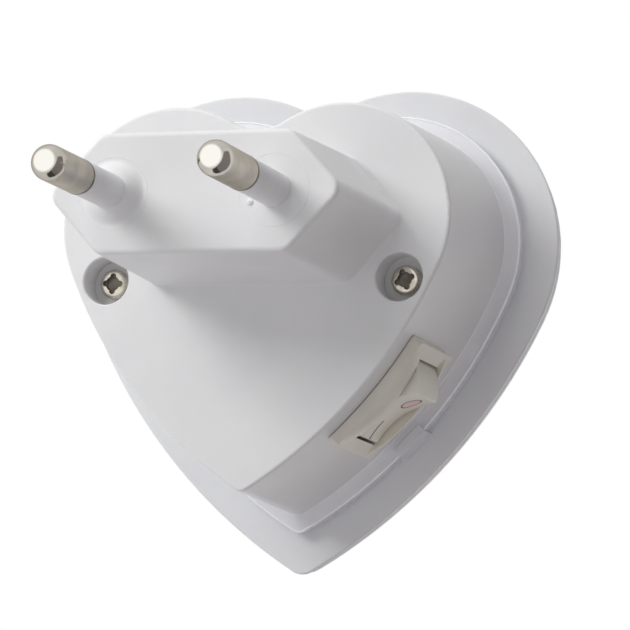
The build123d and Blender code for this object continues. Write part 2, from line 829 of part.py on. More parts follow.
# Switch base: closes the case and holds the two terminals
common_top = -seesaw_depth - contact_gap
terminal_places = ((0, 0), (-contact_along, 0))
with BuildPart() as switch_base:
    with BuildSketch(switch_face.offset(-case_depth)):
        Rectangle(2 * (cavity_half - fit), cavity_width - 2 * fit)
        with Locations(*terminal_places):
            Rectangle(terminal_thickness + 2 * fit, terminal_width + 2 * fit, mode=Mode.SUBTRACT)
    extrude(amount=base_thickness)
switch_base.part.label = "switch_base"
export_step(switch_base.part, "parts/switch_base.step")

# Terminals: the common blade carries the seesaw, the throw blade ends in a contact button
with BuildPart() as common_terminal:
    with BuildSketch(switch_face.offset(terminal_end)):
        Rectangle(terminal_thickness, terminal_width)
    extrude(amount=common_top - terminal_end)
common_terminal.part.label = "common_terminal"
export_step(common_terminal.part, "parts/common_terminal.step")

with BuildPart() as throw_terminal:
    with BuildSketch(switch_face.offset(terminal_end)):
        with Locations((-contact_along, 0)):
            Rectangle(terminal_thickness, terminal_width)
    extrude(amount=throw_top - contact_height - terminal_end)
    with BuildSketch(switch_face.offset(throw_top - contact_height)):
        with Locations((-contact_along, 0)):
            Circle(contact_radius)
    extrude(amount=contact_height)
throw_terminal.part.label = "throw_terminal"
export_step(throw_terminal.part, "parts/throw_terminal.step")

# Seesaw contact, tipped onto the throw terminal
with BuildPart() as contact_seesaw:
    with BuildSketch(seesaw_face):
        Rectangle(2 * seesaw_half_length, seesaw_width)
    extrude(amount=seesaw_thickness)
    with BuildSketch(seesaw_face):
        with Locations((-contact_along, 0)):
            Circle(contact_radius)
    extrude(amount=-contact_height)
contact_seesaw.part.label = "contact_seesaw"
export_step(contact_seesaw.part, "parts/contact_seesaw.step")

# Rocker: dished top, round ends, trunnions, and a stem bored for the plunger and its spring
corner_turn = math.radians(rocker_corner_angle)
skirt_turn = math.radians(rocker_skirt_angle)
end_turn = (corner_turn - skirt_turn) / 2
corner_x = rocker_radius * math.cos(corner_turn)
corner_y = rocker_radius * math.sin(corner_turn)
skirt_x = rocker_radius * math.cos(skirt_turn)
skirt_y = -rocker_radius * math.sin(skirt_turn)
end_x = rocker_radius * math.cos(end_turn)
end_y = rocker_radius * math.sin(end_turn)
bore_top = plunger_length - plunger_reach + spring_length
with BuildPart() as switch_rocker:
    with BuildSketch(rocker_side):
        with BuildLine():
            ThreePointArc((-corner_x, corner_y), (0, corner_y - rocker_dish), (corner_x, corner_y))
            ThreePointArc((corner_x, corner_y), (end_x, end_y), (skirt_x, skirt_y))
            Line((skirt_x, skirt_y), (-skirt_x, skirt_y))
            ThreePointArc((-skirt_x, skirt_y), (-end_x, end_y), (-corner_x, corner_y))
        make_face()
        with Locations((0, skirt_y)):
            Rectangle(2 * stem_half_width, stem_reach + skirt_y, align=(Align.CENTER, Align.MAX))
    extrude(amount=rocker_width / 2, both=True)
    fillet(switch_rocker.faces().sort_by(Axis(pivot_place, rocker_up))[-1].edges(), rocker_round)
    with BuildSketch(rocker_side):
        Circle(trunnion_radius)
    extrude(amount=cavity_width / 2 + trunnion_engagement, both=True)
    with BuildSketch(rocker_side):
        for way in (-1, 1):
            Polygon(
                (way * stem_half_width, skirt_y - overrun),
                (way * corner_x, skirt_y - overrun),
                (way * corner_x, corner_y - rocker_dish - rocker_wall),
                (way * stem_half_width, corner_y - rocker_dish - rocker_wall),
                align=None,
            )
    extrude(amount=rocker_width / 2 - rocker_wall, both=True, mode=Mode.SUBTRACT)
    with BuildSketch(rocker_face.offset(bore_top)):
        Circle(plunger_radius + fit)
    extrude(amount=-bore_top - stem_reach - overrun, mode=Mode.SUBTRACT)
switch_rocker.part.label = "switch_rocker"
export_step(switch_rocker.part, "parts/switch_rocker.step")

with BuildPart() as switch_plunger:
    with BuildSketch(rocker_face.offset(-plunger_reach)):
        Circle(plunger_radius)
    extrude(amount=plunger_length)
    fillet(switch_plunger.faces().sort_by(Axis(pivot_place, rocker_up))[0].edges(), plunger_round)
switch_plunger.part.label = "switch_plunger"
export_step(switch_plunger.part, "parts/switch_plunger.step")

with BuildPart() as plunger_spring:
    with BuildSketch(rocker_face.offset(bore_top - spring_length)):
        Circle(spring_radius)
        Circle(spring_radius - spring_wire, mode=Mode.SUBTRACT)
    extrude(amount=spring_length)
plunger_spring.part.label = "plunger_spring"
export_step(plunger_spring.part, "parts/plunger_spring.step")


def lead(name, points):
    """Insulated wire along straight runs joined by the largest arcs that the runs allow."""
    runs = [end - start for start, end in zip(points, points[1:])]
    radii = []
    for first, second in zip(runs, runs[1:]):
        half_turn = math.radians(first.get_angle(second)) / 2
        radii.append(lead_bend_share * min(first.length, second.length) / math.tan(half_turn))
    print(name, "bend radii", [round(radius, 2) for radius in radii])
    with BuildPart() as tube:
        with BuildLine() as route:
            FilletPolyline(*points, radius=radii)
        with BuildSketch(Plane(origin=route.line @ 0, z_dir=route.line % 0)):
            Circle(lead_radius)
        sweep(path=route.line)
    tube.part.label = name
    export_step(tube.part, f"parts/{name}.step")


# Hook-up leads: pin to switch, switch to board, pin to board
tail_depth = clamp_rear + pin_tail_length
throw_end = switch_face.from_local_coords(Vector(-contact_along, 0, terminal_end))
common_end = switch_face.from_local_coords(Vector(0, 0, terminal_end))
lead(
    "live_lead",
    [
        room(pin_places["right"], tail_depth, 0),
        room(pin_places["right"], tail_depth + lead_straight, 0),
        room(-2.0, 19.0, 1.0),
        throw_end - outward * lead_straight,
        throw_end,
    ],
)
lead(
    "switched_lead",
    [
        common_end,
        common_end - outward * lead_straight,
        room(4.0, 31.5, -9.3),
        room(4.0, board_rear, -9.3),
    ],
)
lead(
    "neutral_lead",
    [
        room(pin_places["left"], tail_depth, 0),
        room(pin_places["left"], tail_depth + lead_straight, 0),
        room(12.6, 22.0, -2.4),
        room(12.5, 31.0, -1.0),
        room(12.5, board_rear, -1.0),
    ],
)

print("switch pivot", pivot_place, "axis", hinge, "slide", rocker_up, "seesaw", seesaw_place)
print("joint ranges", 2 * rocker_tilt, -2 * seesaw_tilt)
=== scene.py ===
# %% [markdown]
# # A heart-shaped plug-in night light
#
# The lamp is shown as it looks when it is pulled out of the wall: from behind, with its plug pins towards
# us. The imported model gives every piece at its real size. This lesson gives each piece its finish, makes the
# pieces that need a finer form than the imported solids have, and sets up a camera and a small studio.

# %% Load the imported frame
import json
import math

import bmesh
import bpy
from mathutils import Matrix, Vector


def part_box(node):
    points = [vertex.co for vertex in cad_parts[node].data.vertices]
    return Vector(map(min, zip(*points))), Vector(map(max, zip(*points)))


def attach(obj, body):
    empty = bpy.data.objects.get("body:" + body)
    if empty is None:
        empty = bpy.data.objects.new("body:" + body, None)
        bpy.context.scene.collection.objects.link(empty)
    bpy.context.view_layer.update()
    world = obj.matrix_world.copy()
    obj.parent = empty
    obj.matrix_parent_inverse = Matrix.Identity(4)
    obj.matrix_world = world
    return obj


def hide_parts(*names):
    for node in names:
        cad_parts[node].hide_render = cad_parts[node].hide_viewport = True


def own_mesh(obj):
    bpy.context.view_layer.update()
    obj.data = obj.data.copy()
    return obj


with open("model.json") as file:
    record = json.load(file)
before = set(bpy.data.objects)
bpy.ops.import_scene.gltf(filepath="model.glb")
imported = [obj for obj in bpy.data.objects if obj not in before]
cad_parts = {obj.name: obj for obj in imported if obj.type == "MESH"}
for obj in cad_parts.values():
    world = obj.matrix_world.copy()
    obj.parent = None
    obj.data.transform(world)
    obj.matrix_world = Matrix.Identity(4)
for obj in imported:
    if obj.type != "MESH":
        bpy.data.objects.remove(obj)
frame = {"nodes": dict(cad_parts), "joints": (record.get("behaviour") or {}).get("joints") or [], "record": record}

scene = bpy.context.scene
joints = {joint["name"]: joint for joint in frame["joints"]}
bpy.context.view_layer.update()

# %% [markdown]
# ## Camera
#
# The picture was taken with a long lens, a little below the lamp and to one side of the pins. The camera
# stands where the pins, the two hearts, the screws and the switch all fall on their places in the picture.
# Its turn is given as a bearing, a rise and a small roll, which are easier to read than a matrix.

# %% Camera
photo_pixels = 630
focal_pixels = 3650
sensor_width = 36.0
camera_place = Vector((-0.14931, 0.36536, -0.07286))
view_bearing = math.radians(110.19)
view_rise = math.radians(-8.61)
view_roll = math.radians(2.52)

level_back = Vector((math.cos(view_bearing), math.sin(view_bearing), 0))
camera_back = level_back * math.cos(view_rise) + Vector((0, 0, math.sin(view_rise)))
camera_level = Vector((0, 0, 1)).cross(camera_back).normalized()
camera_right = Matrix.Rotation(view_roll, 3, camera_back) @ camera_level
camera_up = camera_back.cross(camera_right)

camera = bpy.data.objects.new("camera", bpy.data.cameras.new("camera"))
scene.collection.objects.link(camera)
camera.data.sensor_width = sensor_width
camera.data.lens = sensor_width * focal_pixels / photo_pixels
camera.data.clip_start = 0.01
turned = Matrix((camera_right, camera_up, camera_back)).transposed().to_4x4()
camera.matrix_world = Matrix.Translation(camera_place) @ turned
scene.camera = camera
scene.view_settings.view_transform = "Standard"
print("camera lens", round(camera.data.lens, 1), "mm at", tuple(round(v, 3) for v in camera_place))

# %% [markdown]
# ## Node helpers
#
# The world, the finishes and the finer pieces are all made of nodes. Three small functions add a node, do one
# step of arithmetic and blend two values, so that each tree below reads as a list of what it does.

# %% Node helpers
# Places of a Mix node's first value, second value and result, by kind.
mix_ports = {"FLOAT": (2, 3, 0), "RGBA": (6, 7, 2)}


def add_node(tree, kind, inputs=None, **settings):
    """Node with its settings made and its inputs either linked or set."""
    node = tree.nodes.new(kind)
    for name, value in settings.items():
        setattr(node, name, value)
    for name, value in (inputs or {}).items():
        if isinstance(value, bpy.types.NodeSocket):
            tree.links.new(value, node.inputs[name])
        else:
            node.inputs[name].default_value = value
    return node


def calc(tree, operation, *values):
    """Result of one step of arithmetic on sockets and numbers."""
    return add_node(tree, "ShaderNodeMath", dict(enumerate(values)), operation=operation).outputs[0]


def mixed(tree, kind, factor, first, second):
    """Blend of two numbers or two colours."""
    first_port, second_port, blend_port = mix_ports[kind]
    parts = {0: factor, first_port: first, second_port: second}
    return add_node(tree, "ShaderNodeMix", parts, data_type=kind).outputs[blend_port]


# %% [markdown]
# ## Studio
#
# White plastic on white shows its form only by shade, so most of the light comes from one lamp high on the
# left of the picture, helped by one overhead and a weak one for the front, over a low even glow. Dim cards
# below and on the right hold some of the glow back there, and a darker one gives the polished pins something
# to mirror. The camera sees none of them. The world is white to the camera, in reflections and through clear
# plastic, and dimmer as a light.

# %% World
glow_strength = 0.25
world = bpy.data.worlds.new("studio")
scene.world = world
world.use_nodes = True
sky = world.node_tree
sky.nodes.clear()
white = (1, 1, 1, 1)
paths = add_node(sky, "ShaderNodeLightPath").outputs
seen = calc(sky, "MAXIMUM", paths["Is Camera Ray"], paths["Is Glossy Ray"])
seen_through = calc(sky, "MAXIMUM", seen, paths["Is Transmission Ray"])
glow = add_node(sky, "ShaderNodeBackground", {"Color": white, "Strength": glow_strength})
paper = add_node(sky, "ShaderNodeBackground", {"Color": white})
either = add_node(sky, "ShaderNodeMixShader", {0: seen_through, 1: glow.outputs[0], 2: paper.outputs[0]})
add_node(sky, "ShaderNodeOutputWorld", {"Surface": either.outputs[0]})
print("world: white paper, glow", glow_strength)

# %% Lamps
lamp_aim = Vector((0, -0.03, -0.005))
lamps = {
    "key_lamp": ((0.44, 0.54, 0.38), 0.36, 3.7),
    "top_lamp": ((0.08, 0.16, 0.80), 0.50, 2.6),
    "front_lamp": ((0.10, -0.90, 0.15), 0.50, 1.9),
}
for name, (place, width, power) in lamps.items():
    light = bpy.data.lights.new(name, "AREA")
    light.size = width
    light.energy = power
    holder = bpy.data.objects.new(name, light)
    scene.collection.objects.link(holder)
    holder.visible_glossy = False
    holder.location = place
    holder.rotation_euler = (lamp_aim - Vector(place)).to_track_quat("-Z", "Y").to_euler()
    print("lamp", name, power, "W")

# %% Floor and cards
floor_height = -0.12
floor_width = 6.0
floor_color = (0.74, 0.74, 0.75)
stage_roughness = 0.9
cards = {
    "low_card": ((-0.14, 0.02, -0.115), (0, 0, 0), (0.34, 0.34), (0.46, 0.43, 0.44)),
    "side_card": ((-0.34, 0.06, 0.02), (0, 90, 0), (0.30, 0.30), (0.46, 0.43, 0.44)),
    "pin_card": ((-0.0815, 0.029, -0.0577), (0, 57, 0), (0.50, 0.15), (0.30, 0.28, 0.29)),
}


def flat_stage(name, width, depth, color):
    """Oblong sheet of the studio, in one plain colour."""
    corners = [(x * width / 2, y * depth / 2, 0) for x, y in ((-1, -1), (1, -1), (1, 1), (-1, 1))]
    mesh = bpy.data.meshes.new(name)
    mesh.from_pydata(corners, [], [(0, 1, 2, 3)])
    sheet = bpy.data.objects.new(name, mesh)
    scene.collection.objects.link(sheet)
    paint = bpy.data.materials.new(name)
    paint.use_nodes = True
    shader = paint.node_tree.nodes["Principled BSDF"]
    shader.inputs["Base Color"].default_value = (*color, 1)
    shader.inputs["Roughness"].default_value = stage_roughness
    mesh.materials.append(paint)
    return sheet


floor = flat_stage("floor", floor_width, floor_width, floor_color)
floor.location.z = floor_height
floor.visible_glossy = False
for name, (place, turns, sides, color) in cards.items():
    card = flat_stage(name, *sides, color)
    card.location = place
    card.rotation_euler = [math.radians(turn) for turn in turns]
    card.visible_camera = False
    card.visible_shadow = False
    card.visible_diffuse = name != "pin_card"
    card.visible_glossy = name == "pin_card"
print("floor at", floor_height, "and", len(cards), "cards")

# %% [markdown]
# ## Surface groups
#
# Moulded plastic isn't one flat colour. It has a fine grain from the mould, faint cloudy patches and a gloss
# that varies with handling. Turned metal has fine rings and dull patches. Both effects are shared by many
# finishes, so each is one shader group with named inputs, placed in each material with its own values.

# %% Group helper
surface_inputs = {
    "Color": "Color",
    "Second Color": "Color",
    "Patch Scale": "Float",
    "Grain Scale": "Float",
    "Low Roughness": "Float",
    "High Roughness": "Float",
}
surface_outputs = {"Color": "Color", "Roughness": "Float", "Height": "Float"}


def surface_group(name):
    """Empty shader group with the surface sockets, its input node's sockets and its output node."""
    group = bpy.data.node_groups.new(name, "ShaderNodeTree")
    for label, kind in surface_inputs.items():
        group.interface.new_socket(label, in_out="INPUT", socket_type="NodeSocket" + kind)
    for label, kind in surface_outputs.items():
        group.interface.new_socket(label, in_out="OUTPUT", socket_type="NodeSocket" + kind)
    return group, group.nodes.new("NodeGroupInput").outputs, group.nodes.new("NodeGroupOutput")


# %% Moulded plastic
moulded, given, result = surface_group("moulded_plastic")
place = add_node(moulded, "ShaderNodeTexCoord").outputs["Object"]
clouds = add_node(
    moulded, "ShaderNodeTexNoise", {"Vector": place, "Scale": given["Patch Scale"], "Detail": 3.0}
)
cloud_mask = add_node(
    moulded, "ShaderNodeMapRange", {"Value": clouds.outputs[0], "From Min": 0.35, "From Max": 0.65}
)
tint = mixed(moulded, "RGBA", cloud_mask.outputs[0], given["Color"], given["Second Color"])
smears = add_node(
    moulded,
    "ShaderNodeTexNoise",
    {"Vector": place, "Scale": given["Patch Scale"], "Detail": 6.0, "Distortion": 1.2},
)
sheen = add_node(
    moulded,
    "ShaderNodeMapRange",
    {
        "Value": smears.outputs[0],
        "From Min": 0.3,
        "From Max": 0.7,
        "To Min": given["Low Roughness"],
        "To Max": given["High Roughness"],
    },
)
grain = add_node(
    moulded, "ShaderNodeTexNoise", {"Vector": place, "Scale": given["Grain Scale"], "Detail": 2.0}
)
moulded.links.new(tint, result.inputs["Color"])
moulded.links.new(sheen.outputs[0], result.inputs["Roughness"])
moulded.links.new(grain.outputs[0], result.inputs["Height"])
print("group moulded_plastic:", len(moulded.nodes), "nodes")

# %% Turned metal
turned_metal, given, result = surface_group("turned_metal")
place = add_node(turned_metal, "ShaderNodeTexCoord").outputs["Object"]
stains = add_node(
    turned_metal,
    "ShaderNodeTexNoise",
    {"Vector": place, "Scale": given["Patch Scale"], "Detail": 5.0},
)
stain_mask = add_node(
    turned_metal, "ShaderNodeMapRange", {"Value": stains.outputs[0], "From Min": 0.4, "From Max": 0.62}
)
tint = mixed(turned_metal, "RGBA", stain_mask.outputs[0], given["Color"], given["Second Color"])
rings = add_node(
    turned_metal,
    "ShaderNodeTexWave",
    {"Vector": place, "Scale": given["Grain Scale"], "Distortion": 1.5, "Detail": 2.0},
    bands_direction="Y",
)
dull = add_node(
    turned_metal,
    "ShaderNodeMapRange",
    {
        "Value": stains.outputs[0],
        "From Min": 0.35,
        "From Max": 0.65,
        "To Min": given["Low Roughness"],
        "To Max": given["High Roughness"],
    },
)
turned_metal.links.new(tint, result.inputs["Color"])
turned_metal.links.new(dull.outputs[0], result.inputs["Roughness"])
turned_metal.links.new(rings.outputs["Fac"], result.inputs["Height"])
print("group turned_metal:", len(turned_metal.nodes), "nodes")

# %% [markdown]
# ## Finishes
#
# Most finishes are named after the slot of the record that they fill, so that the imported pieces and the finer
# pieces made later share them. A few more are for ink, for a painted glow on bright clear edges, and for painted
# shade in screw recesses and sleeve gaps. A table gives each one its two colours, the scales of its patches and
# its grain, its least and most roughness, and the height of its relief in metres. A number that is the same all
# over, such as the index of refraction, is set on the shader itself, and only what varies comes from the group.

# %% Finish helper
finishes = {}


def finish(slot, group, color, second, patch, grain, roughness, relief, **shader):
    """Material for one slot: a surface group, a fine relief, and the shader's own plain values."""
    material = bpy.data.materials.new(slot)
    material.use_nodes = True
    tree = material.node_tree
    principled = tree.nodes["Principled BSDF"]
    values = {
        "Color": (*color, 1),
        "Second Color": (*second, 1),
        "Patch Scale": patch,
        "Grain Scale": grain,
        "Low Roughness": roughness[0],
        "High Roughness": roughness[1],
    }
    skin = add_node(tree, "ShaderNodeGroup", values, node_tree=group)
    bump = add_node(tree, "ShaderNodeBump", {"Height": skin.outputs["Height"], "Distance": relief})
    tree.links.new(skin.outputs["Color"], principled.inputs["Base Color"])
    tree.links.new(skin.outputs["Roughness"], principled.inputs["Roughness"])
    tree.links.new(bump.outputs["Normal"], principled.inputs["Normal"])
    for name, value in shader.items():
        principled.inputs[name.replace("_", " ")].default_value = value
    finishes[slot] = material


# %% Plastics
plastics = {
    "housing_white": ((0.84, 0.84, 0.845), (0.80, 0.80, 0.81), 90, 5200, (0.30, 0.42), 0.000012),
    "sleeve_white": ((0.82, 0.82, 0.83), (0.77, 0.77, 0.78), 220, 6500, (0.38, 0.52), 0.000010),
    "shade_milky": ((0.82, 0.82, 0.83), (0.78, 0.78, 0.80), 60, 3500, (0.32, 0.44), 0.000004),
    "switch_cream": ((0.82, 0.79, 0.70), (0.77, 0.74, 0.65), 180, 5200, (0.34, 0.46), 0.000012),
    "carrier_white": ((0.85, 0.85, 0.84), (0.80, 0.80, 0.79), 120, 4800, (0.45, 0.6), 0.000015),
    "clamp_plastic": ((0.74, 0.74, 0.72), (0.66, 0.66, 0.64), 200, 4200, (0.45, 0.6), 0.000015),
    "plunger_plastic": ((0.82, 0.81, 0.78), (0.76, 0.75, 0.72), 500, 8000, (0.35, 0.5), 0.000008),
    "clear_plastic": ((0.92, 0.92, 0.95), (0.88, 0.88, 0.92), 160, 3000, (0.06, 0.14), 0.000006),
    # Pale edge finish: a painted highlight, with the painted glow set below.
    "painted_edge_glow": ((0.98, 0.98, 0.99), (0.96, 0.96, 0.98), 160, 3000, (0.04, 0.10), 0.000002),
    "led_lens": ((0.95, 0.94, 0.86), (0.90, 0.88, 0.74), 300, 4000, (0.08, 0.16), 0.000004),
}
plain_values = {
    "shade_milky": {"Subsurface_Weight": 0.15, "Subsurface_Scale": 0.003, "Specular_IOR_Level": 0.3},
    "clear_plastic": {"Transmission_Weight": 0.10, "IOR": 1.49},
    # The weak emission is a painted glow that makes the collar's edges bright, though they are no lamp.
    "painted_edge_glow": {
        "Transmission_Weight": 0.1,
        "IOR": 1.49,
        "Emission_Color": (0.95, 0.95, 1.0, 1),
        "Emission_Strength": 0.05,
    },
    "led_lens": {"Transmission_Weight": 0.8, "IOR": 1.5},
}
for slot, look in plastics.items():
    finish(slot, moulded, *look, **plain_values.get(slot, {}))
print("plastics:", sorted(plastics))

# %% Metals
metals = {
    "nickel": ((0.56, 0.53, 0.48), (0.48, 0.45, 0.405), 420, 900, (0.28, 0.42), 0.000003),
    "screw_nickel": ((0.70, 0.66, 0.58), (0.55, 0.50, 0.42), 700, 1500, (0.18, 0.36), 0.000004),
    "spring_steel": ((0.58, 0.58, 0.60), (0.45, 0.45, 0.47), 900, 2500, (0.2, 0.35), 0.000002),
    "contact_brass": ((0.76, 0.58, 0.28), (0.60, 0.42, 0.18), 600, 1200, (0.22, 0.4), 0.000003),
    # The dark finish is painted shade: it darkens the screws' cross recesses and a ring at each sleeve's end.
    "painted_shade_metal": ((0.22, 0.20, 0.16), (0.15, 0.13, 0.10), 900, 1500, (0.4, 0.6), 0.000002),
}
metal_values = {
    "nickel": {"Metallic": 1.0, "Specular_Tint": (0.54, 0.51, 0.47, 1)},
    "painted_shade_metal": {"Metallic": 0.5},
}
for slot, look in metals.items():
    finish(slot, turned_metal, *look, **metal_values.get(slot, {"Metallic": 1.0}))
print("metals:", sorted(metals))

# %% [markdown]
# ## Polished pin ends and their painted highlight
#
# Each push into a socket rubs a pin's end, so its rounded end is smoother than its shank. The middle of the
# end is also painted a near-white colour, a painted highlight. Both come from how far a place is along the pin
# and from its axis, worked out from Object coordinates.

# %% Polished pin ends and painted highlight
highlight_full_radius = 0.0011
highlight_fade_radius = 0.00135
polish_and_highlight_depth = 0.0172
painted_highlight_color = (0.95, 0.93, 0.86, 1)
polish_roughness = 0.12
pin_offset = 0.0095
nickel_tree = finishes["nickel"].node_tree
nickel_shader = nickel_tree.nodes["Principled BSDF"]
nickel_place = add_node(nickel_tree, "ShaderNodeTexCoord").outputs["Object"]
on_pin = add_node(nickel_tree, "ShaderNodeSeparateXYZ", {0: nickel_place}).outputs
aside = calc(nickel_tree, "ABSOLUTE", on_pin["X"])
off_axis = calc(nickel_tree, "SUBTRACT", aside, pin_offset)
from_axis = add_node(nickel_tree, "ShaderNodeCombineXYZ", {"X": off_axis, "Z": on_pin["Z"]})
spread = add_node(nickel_tree, "ShaderNodeVectorMath", {0: from_axis.outputs[0]}, operation="LENGTH")
inside = add_node(
    nickel_tree,
    "ShaderNodeMapRange",
    {"Value": spread.outputs["Value"], "From Min": highlight_fade_radius, "From Max": highlight_full_radius},
)
outer = calc(nickel_tree, "GREATER_THAN", on_pin["Y"], polish_and_highlight_depth)
painted_highlight_mask = calc(nickel_tree, "MULTIPLY", inside.outputs[0], outer)
# Inside the disc, Base Color takes the painted highlight. Over the whole end, Roughness takes the real polish.
for socket, highlight_or_polish, mask, kind in (
    ("Base Color", painted_highlight_color, painted_highlight_mask, "RGBA"),
    ("Roughness", polish_roughness, outer, "FLOAT"),
):
    worn = nickel_shader.inputs[socket].links[0].from_socket
    blend = mixed(nickel_tree, kind, mask, worn, highlight_or_polish)
    nickel_tree.links.new(blend, nickel_shader.inputs[socket])
# The radius printed is that of the painted highlight disc.
print("pin ends polished within", highlight_full_radius, "m of the axis")

# %% Insides
insides = {
    "board_laminate": ((0.42, 0.27, 0.11), (0.30, 0.18, 0.07), 350, 2600, (0.45, 0.6), 0.00002),
    "film_capacitor": ((0.46, 0.10, 0.05), (0.34, 0.06, 0.03), 400, 1800, (0.18, 0.3), 0.00003),
    "capacitor_sleeve": ((0.03, 0.03, 0.035), (0.05, 0.05, 0.06), 500, 3000, (0.22, 0.36), 0.00001),
    "rectifier_black": ((0.025, 0.025, 0.025), (0.05, 0.05, 0.05), 800, 5000, (0.5, 0.7), 0.00002),
    "resistor_body": ((0.16, 0.36, 0.50), (0.12, 0.28, 0.40), 900, 3000, (0.25, 0.4), 0.00001),
    "switch_base_black": ((0.04, 0.04, 0.04), (0.07, 0.065, 0.06), 600, 4000, (0.5, 0.65), 0.00002),
    "lead_red": ((0.50, 0.03, 0.03), (0.40, 0.02, 0.02), 700, 4000, (0.3, 0.45), 0.00001),
    "lead_blue": ((0.04, 0.12, 0.42), (0.03, 0.09, 0.34), 700, 4000, (0.3, 0.45), 0.00001),
}
for slot, look in insides.items():
    finish(slot, moulded, *look)
print("finishes:", len(finishes))

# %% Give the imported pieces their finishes
for subpart in frame["record"]["subparts"]:
    piece = frame["nodes"][subpart["node"]]
    piece.material_slots[0].material = finishes[subpart["material_slot"]]

# %% [markdown]
# ## Helpers for the finer pieces
#
# A piece that follows a rule is a Geometry Nodes tree with named inputs. The tree is run once and its result
# is kept as a plain mesh, so that no live tree is left on the piece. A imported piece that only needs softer
# edges is copied, merged to one skin and bevelled.


# %% Tree helpers
def shape_tree(name, inputs):
    """Empty Geometry Nodes tree with named inputs, the input node's sockets and the output node."""
    tree = bpy.data.node_groups.new(name, "GeometryNodeTree")
    tree.interface.new_socket("Geometry", in_out="INPUT", socket_type="NodeSocketGeometry")
    for label, kind in inputs.items():
        tree.interface.new_socket(label, in_out="INPUT", socket_type="NodeSocket" + kind)
    tree.interface.new_socket("Finish", in_out="INPUT", socket_type="NodeSocketMaterial")
    tree.interface.new_socket("Geometry", in_out="OUTPUT", socket_type="NodeSocketGeometry")
    return tree, tree.nodes.new("NodeGroupInput").outputs, tree.nodes.new("NodeGroupOutput")


def close_tree(tree, given, result, geometry, chosen=None):
    """Last nodes of every tree: real geometry, smooth faces, and the finish on all or on chosen faces."""
    real = add_node(tree, "GeometryNodeRealizeInstances", {"Geometry": geometry})
    smooth = add_node(tree, "GeometryNodeSetShadeSmooth", {"Geometry": real.outputs[0]})
    skin = {"Geometry": smooth.outputs[0], "Material": given["Finish"]}
    painted = add_node(tree, "GeometryNodeSetMaterial", skin)
    if chosen:
        tree.links.new(chosen, painted.inputs["Selection"])
    tree.links.new(painted.outputs[0], result.inputs[0])


def swept(tree, line, radius, corners, capped=False):
    """Skin of a round section run along a curve."""
    section = add_node(tree, "GeometryNodeCurvePrimitiveCircle", {"Resolution": corners, "Radius": radius})
    parts = {"Curve": line, "Profile Curve": section.outputs[0], "Fill Caps": capped}
    return add_node(tree, "GeometryNodeCurveToMesh", parts).outputs[0]


def point_pair(tree, spacing, depth=0.0):
    """Two points along X, on either side of the middle, at one depth."""
    start_x = calc(tree, "MULTIPLY", spacing, -0.5)
    start = add_node(tree, "ShaderNodeCombineXYZ", {"X": start_x, "Y": depth})
    step = add_node(tree, "ShaderNodeCombineXYZ", {"X": spacing})
    line = {"Count": 2, "Start Location": start.outputs[0], "Offset": step.outputs[0]}
    return add_node(tree, "GeometryNodeMeshLine", line, mode="OFFSET").outputs[0]


def run_tree(name, tree, values, start=None):
    """Piece holding the plain mesh that the tree makes from these values."""
    piece = bpy.data.objects.new(name, start or bpy.data.meshes.new(name))
    scene.collection.objects.link(piece)
    modifier = piece.modifiers.new(name, "NODES")
    modifier.node_group = tree
    sockets = [item for item in tree.interface.items_tree if item.in_out == "INPUT"]
    identifiers = {socket.name: socket.identifier for socket in sockets}
    for label, value in values.items():
        modifier[identifiers[label]] = value
    evaluated = piece.evaluated_get(bpy.context.evaluated_depsgraph_get())
    mesh = bpy.data.meshes.new_from_object(evaluated)
    piece.modifiers.remove(modifier)
    piece.data = mesh
    mesh.name = name
    return piece


# %% Mesh helpers
edge_angle = math.radians(32)


def new_piece(name, mesh, slot):
    """Object for a mesh made in code, with its finish."""
    mesh.materials.clear()
    mesh.materials.append(finishes[slot])
    piece = bpy.data.objects.new(name, mesh)
    scene.collection.objects.link(piece)
    return piece


def stand_for(piece, body, slot, *packed):
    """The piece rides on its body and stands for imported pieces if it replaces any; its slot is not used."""
    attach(piece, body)
    if packed:
        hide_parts(*packed)
    print(piece.name, "rides", body, "with", len(piece.data.polygons), "faces")


def soften(piece, width, edge_finish=0):
    """Small rounded edges where faces meet at a clear angle, in one of the piece's finishes."""
    bevel = piece.modifiers.new("soft_edges", "BEVEL")
    bevel.width = width
    bevel.segments = 2
    bevel.limit_method = "ANGLE"
    bevel.angle_limit = edge_angle
    bevel.harden_normals = True
    bevel.material = edge_finish


def turned_mesh(name, profile, axis_x, steps):
    """Closed section of (radius, y) points turned round an axis along Y."""
    corners = []
    for step in range(steps):
        turn = math.tau * step / steps
        for radius, along in profile:
            corners.append((axis_x + radius * math.cos(turn), along, radius * math.sin(turn)))
    count = len(profile)
    faces = []
    for step in range(steps):
        here = step * count
        there = (step + 1) % steps * count
        for point in range(count):
            after = (point + 1) % count
            faces.append((here + point, here + after, there + after, there + point))
    mesh = bpy.data.meshes.new(name)
    mesh.from_pydata(corners, [], faces)
    skin = bmesh.new()
    skin.from_mesh(mesh)
    bmesh.ops.recalc_face_normals(skin, faces=skin.faces)
    skin.to_mesh(mesh)
    skin.free()
    mesh.shade_smooth()
    mesh.set_sharp_from_angle(angle=edge_angle)
    return mesh


# %% [markdown]
# ## Shade dome
#
# The front of the lamp is a puffed heart in milky plastic. Its rim is the outline of two lobe circles, two
# long side arcs and a rounded point, and towards the front every ring of it is a smaller heart. That is a
# rule, so the dome is a tree: a sheet whose columns follow the outline and whose rows shrink by a cosine
# while they rise by a sine. A Solidify modifier then gives the sheet the wall of a moulded shell.

# %% Heart outlines
# Lobe spacing, lobe radius, side radius, point drop, notch radius and rise, in metres.
shade_heart = (0.0108, 0.0195, 0.069, 0.0391, 0.006, 0.0001)
arc_steps = 24


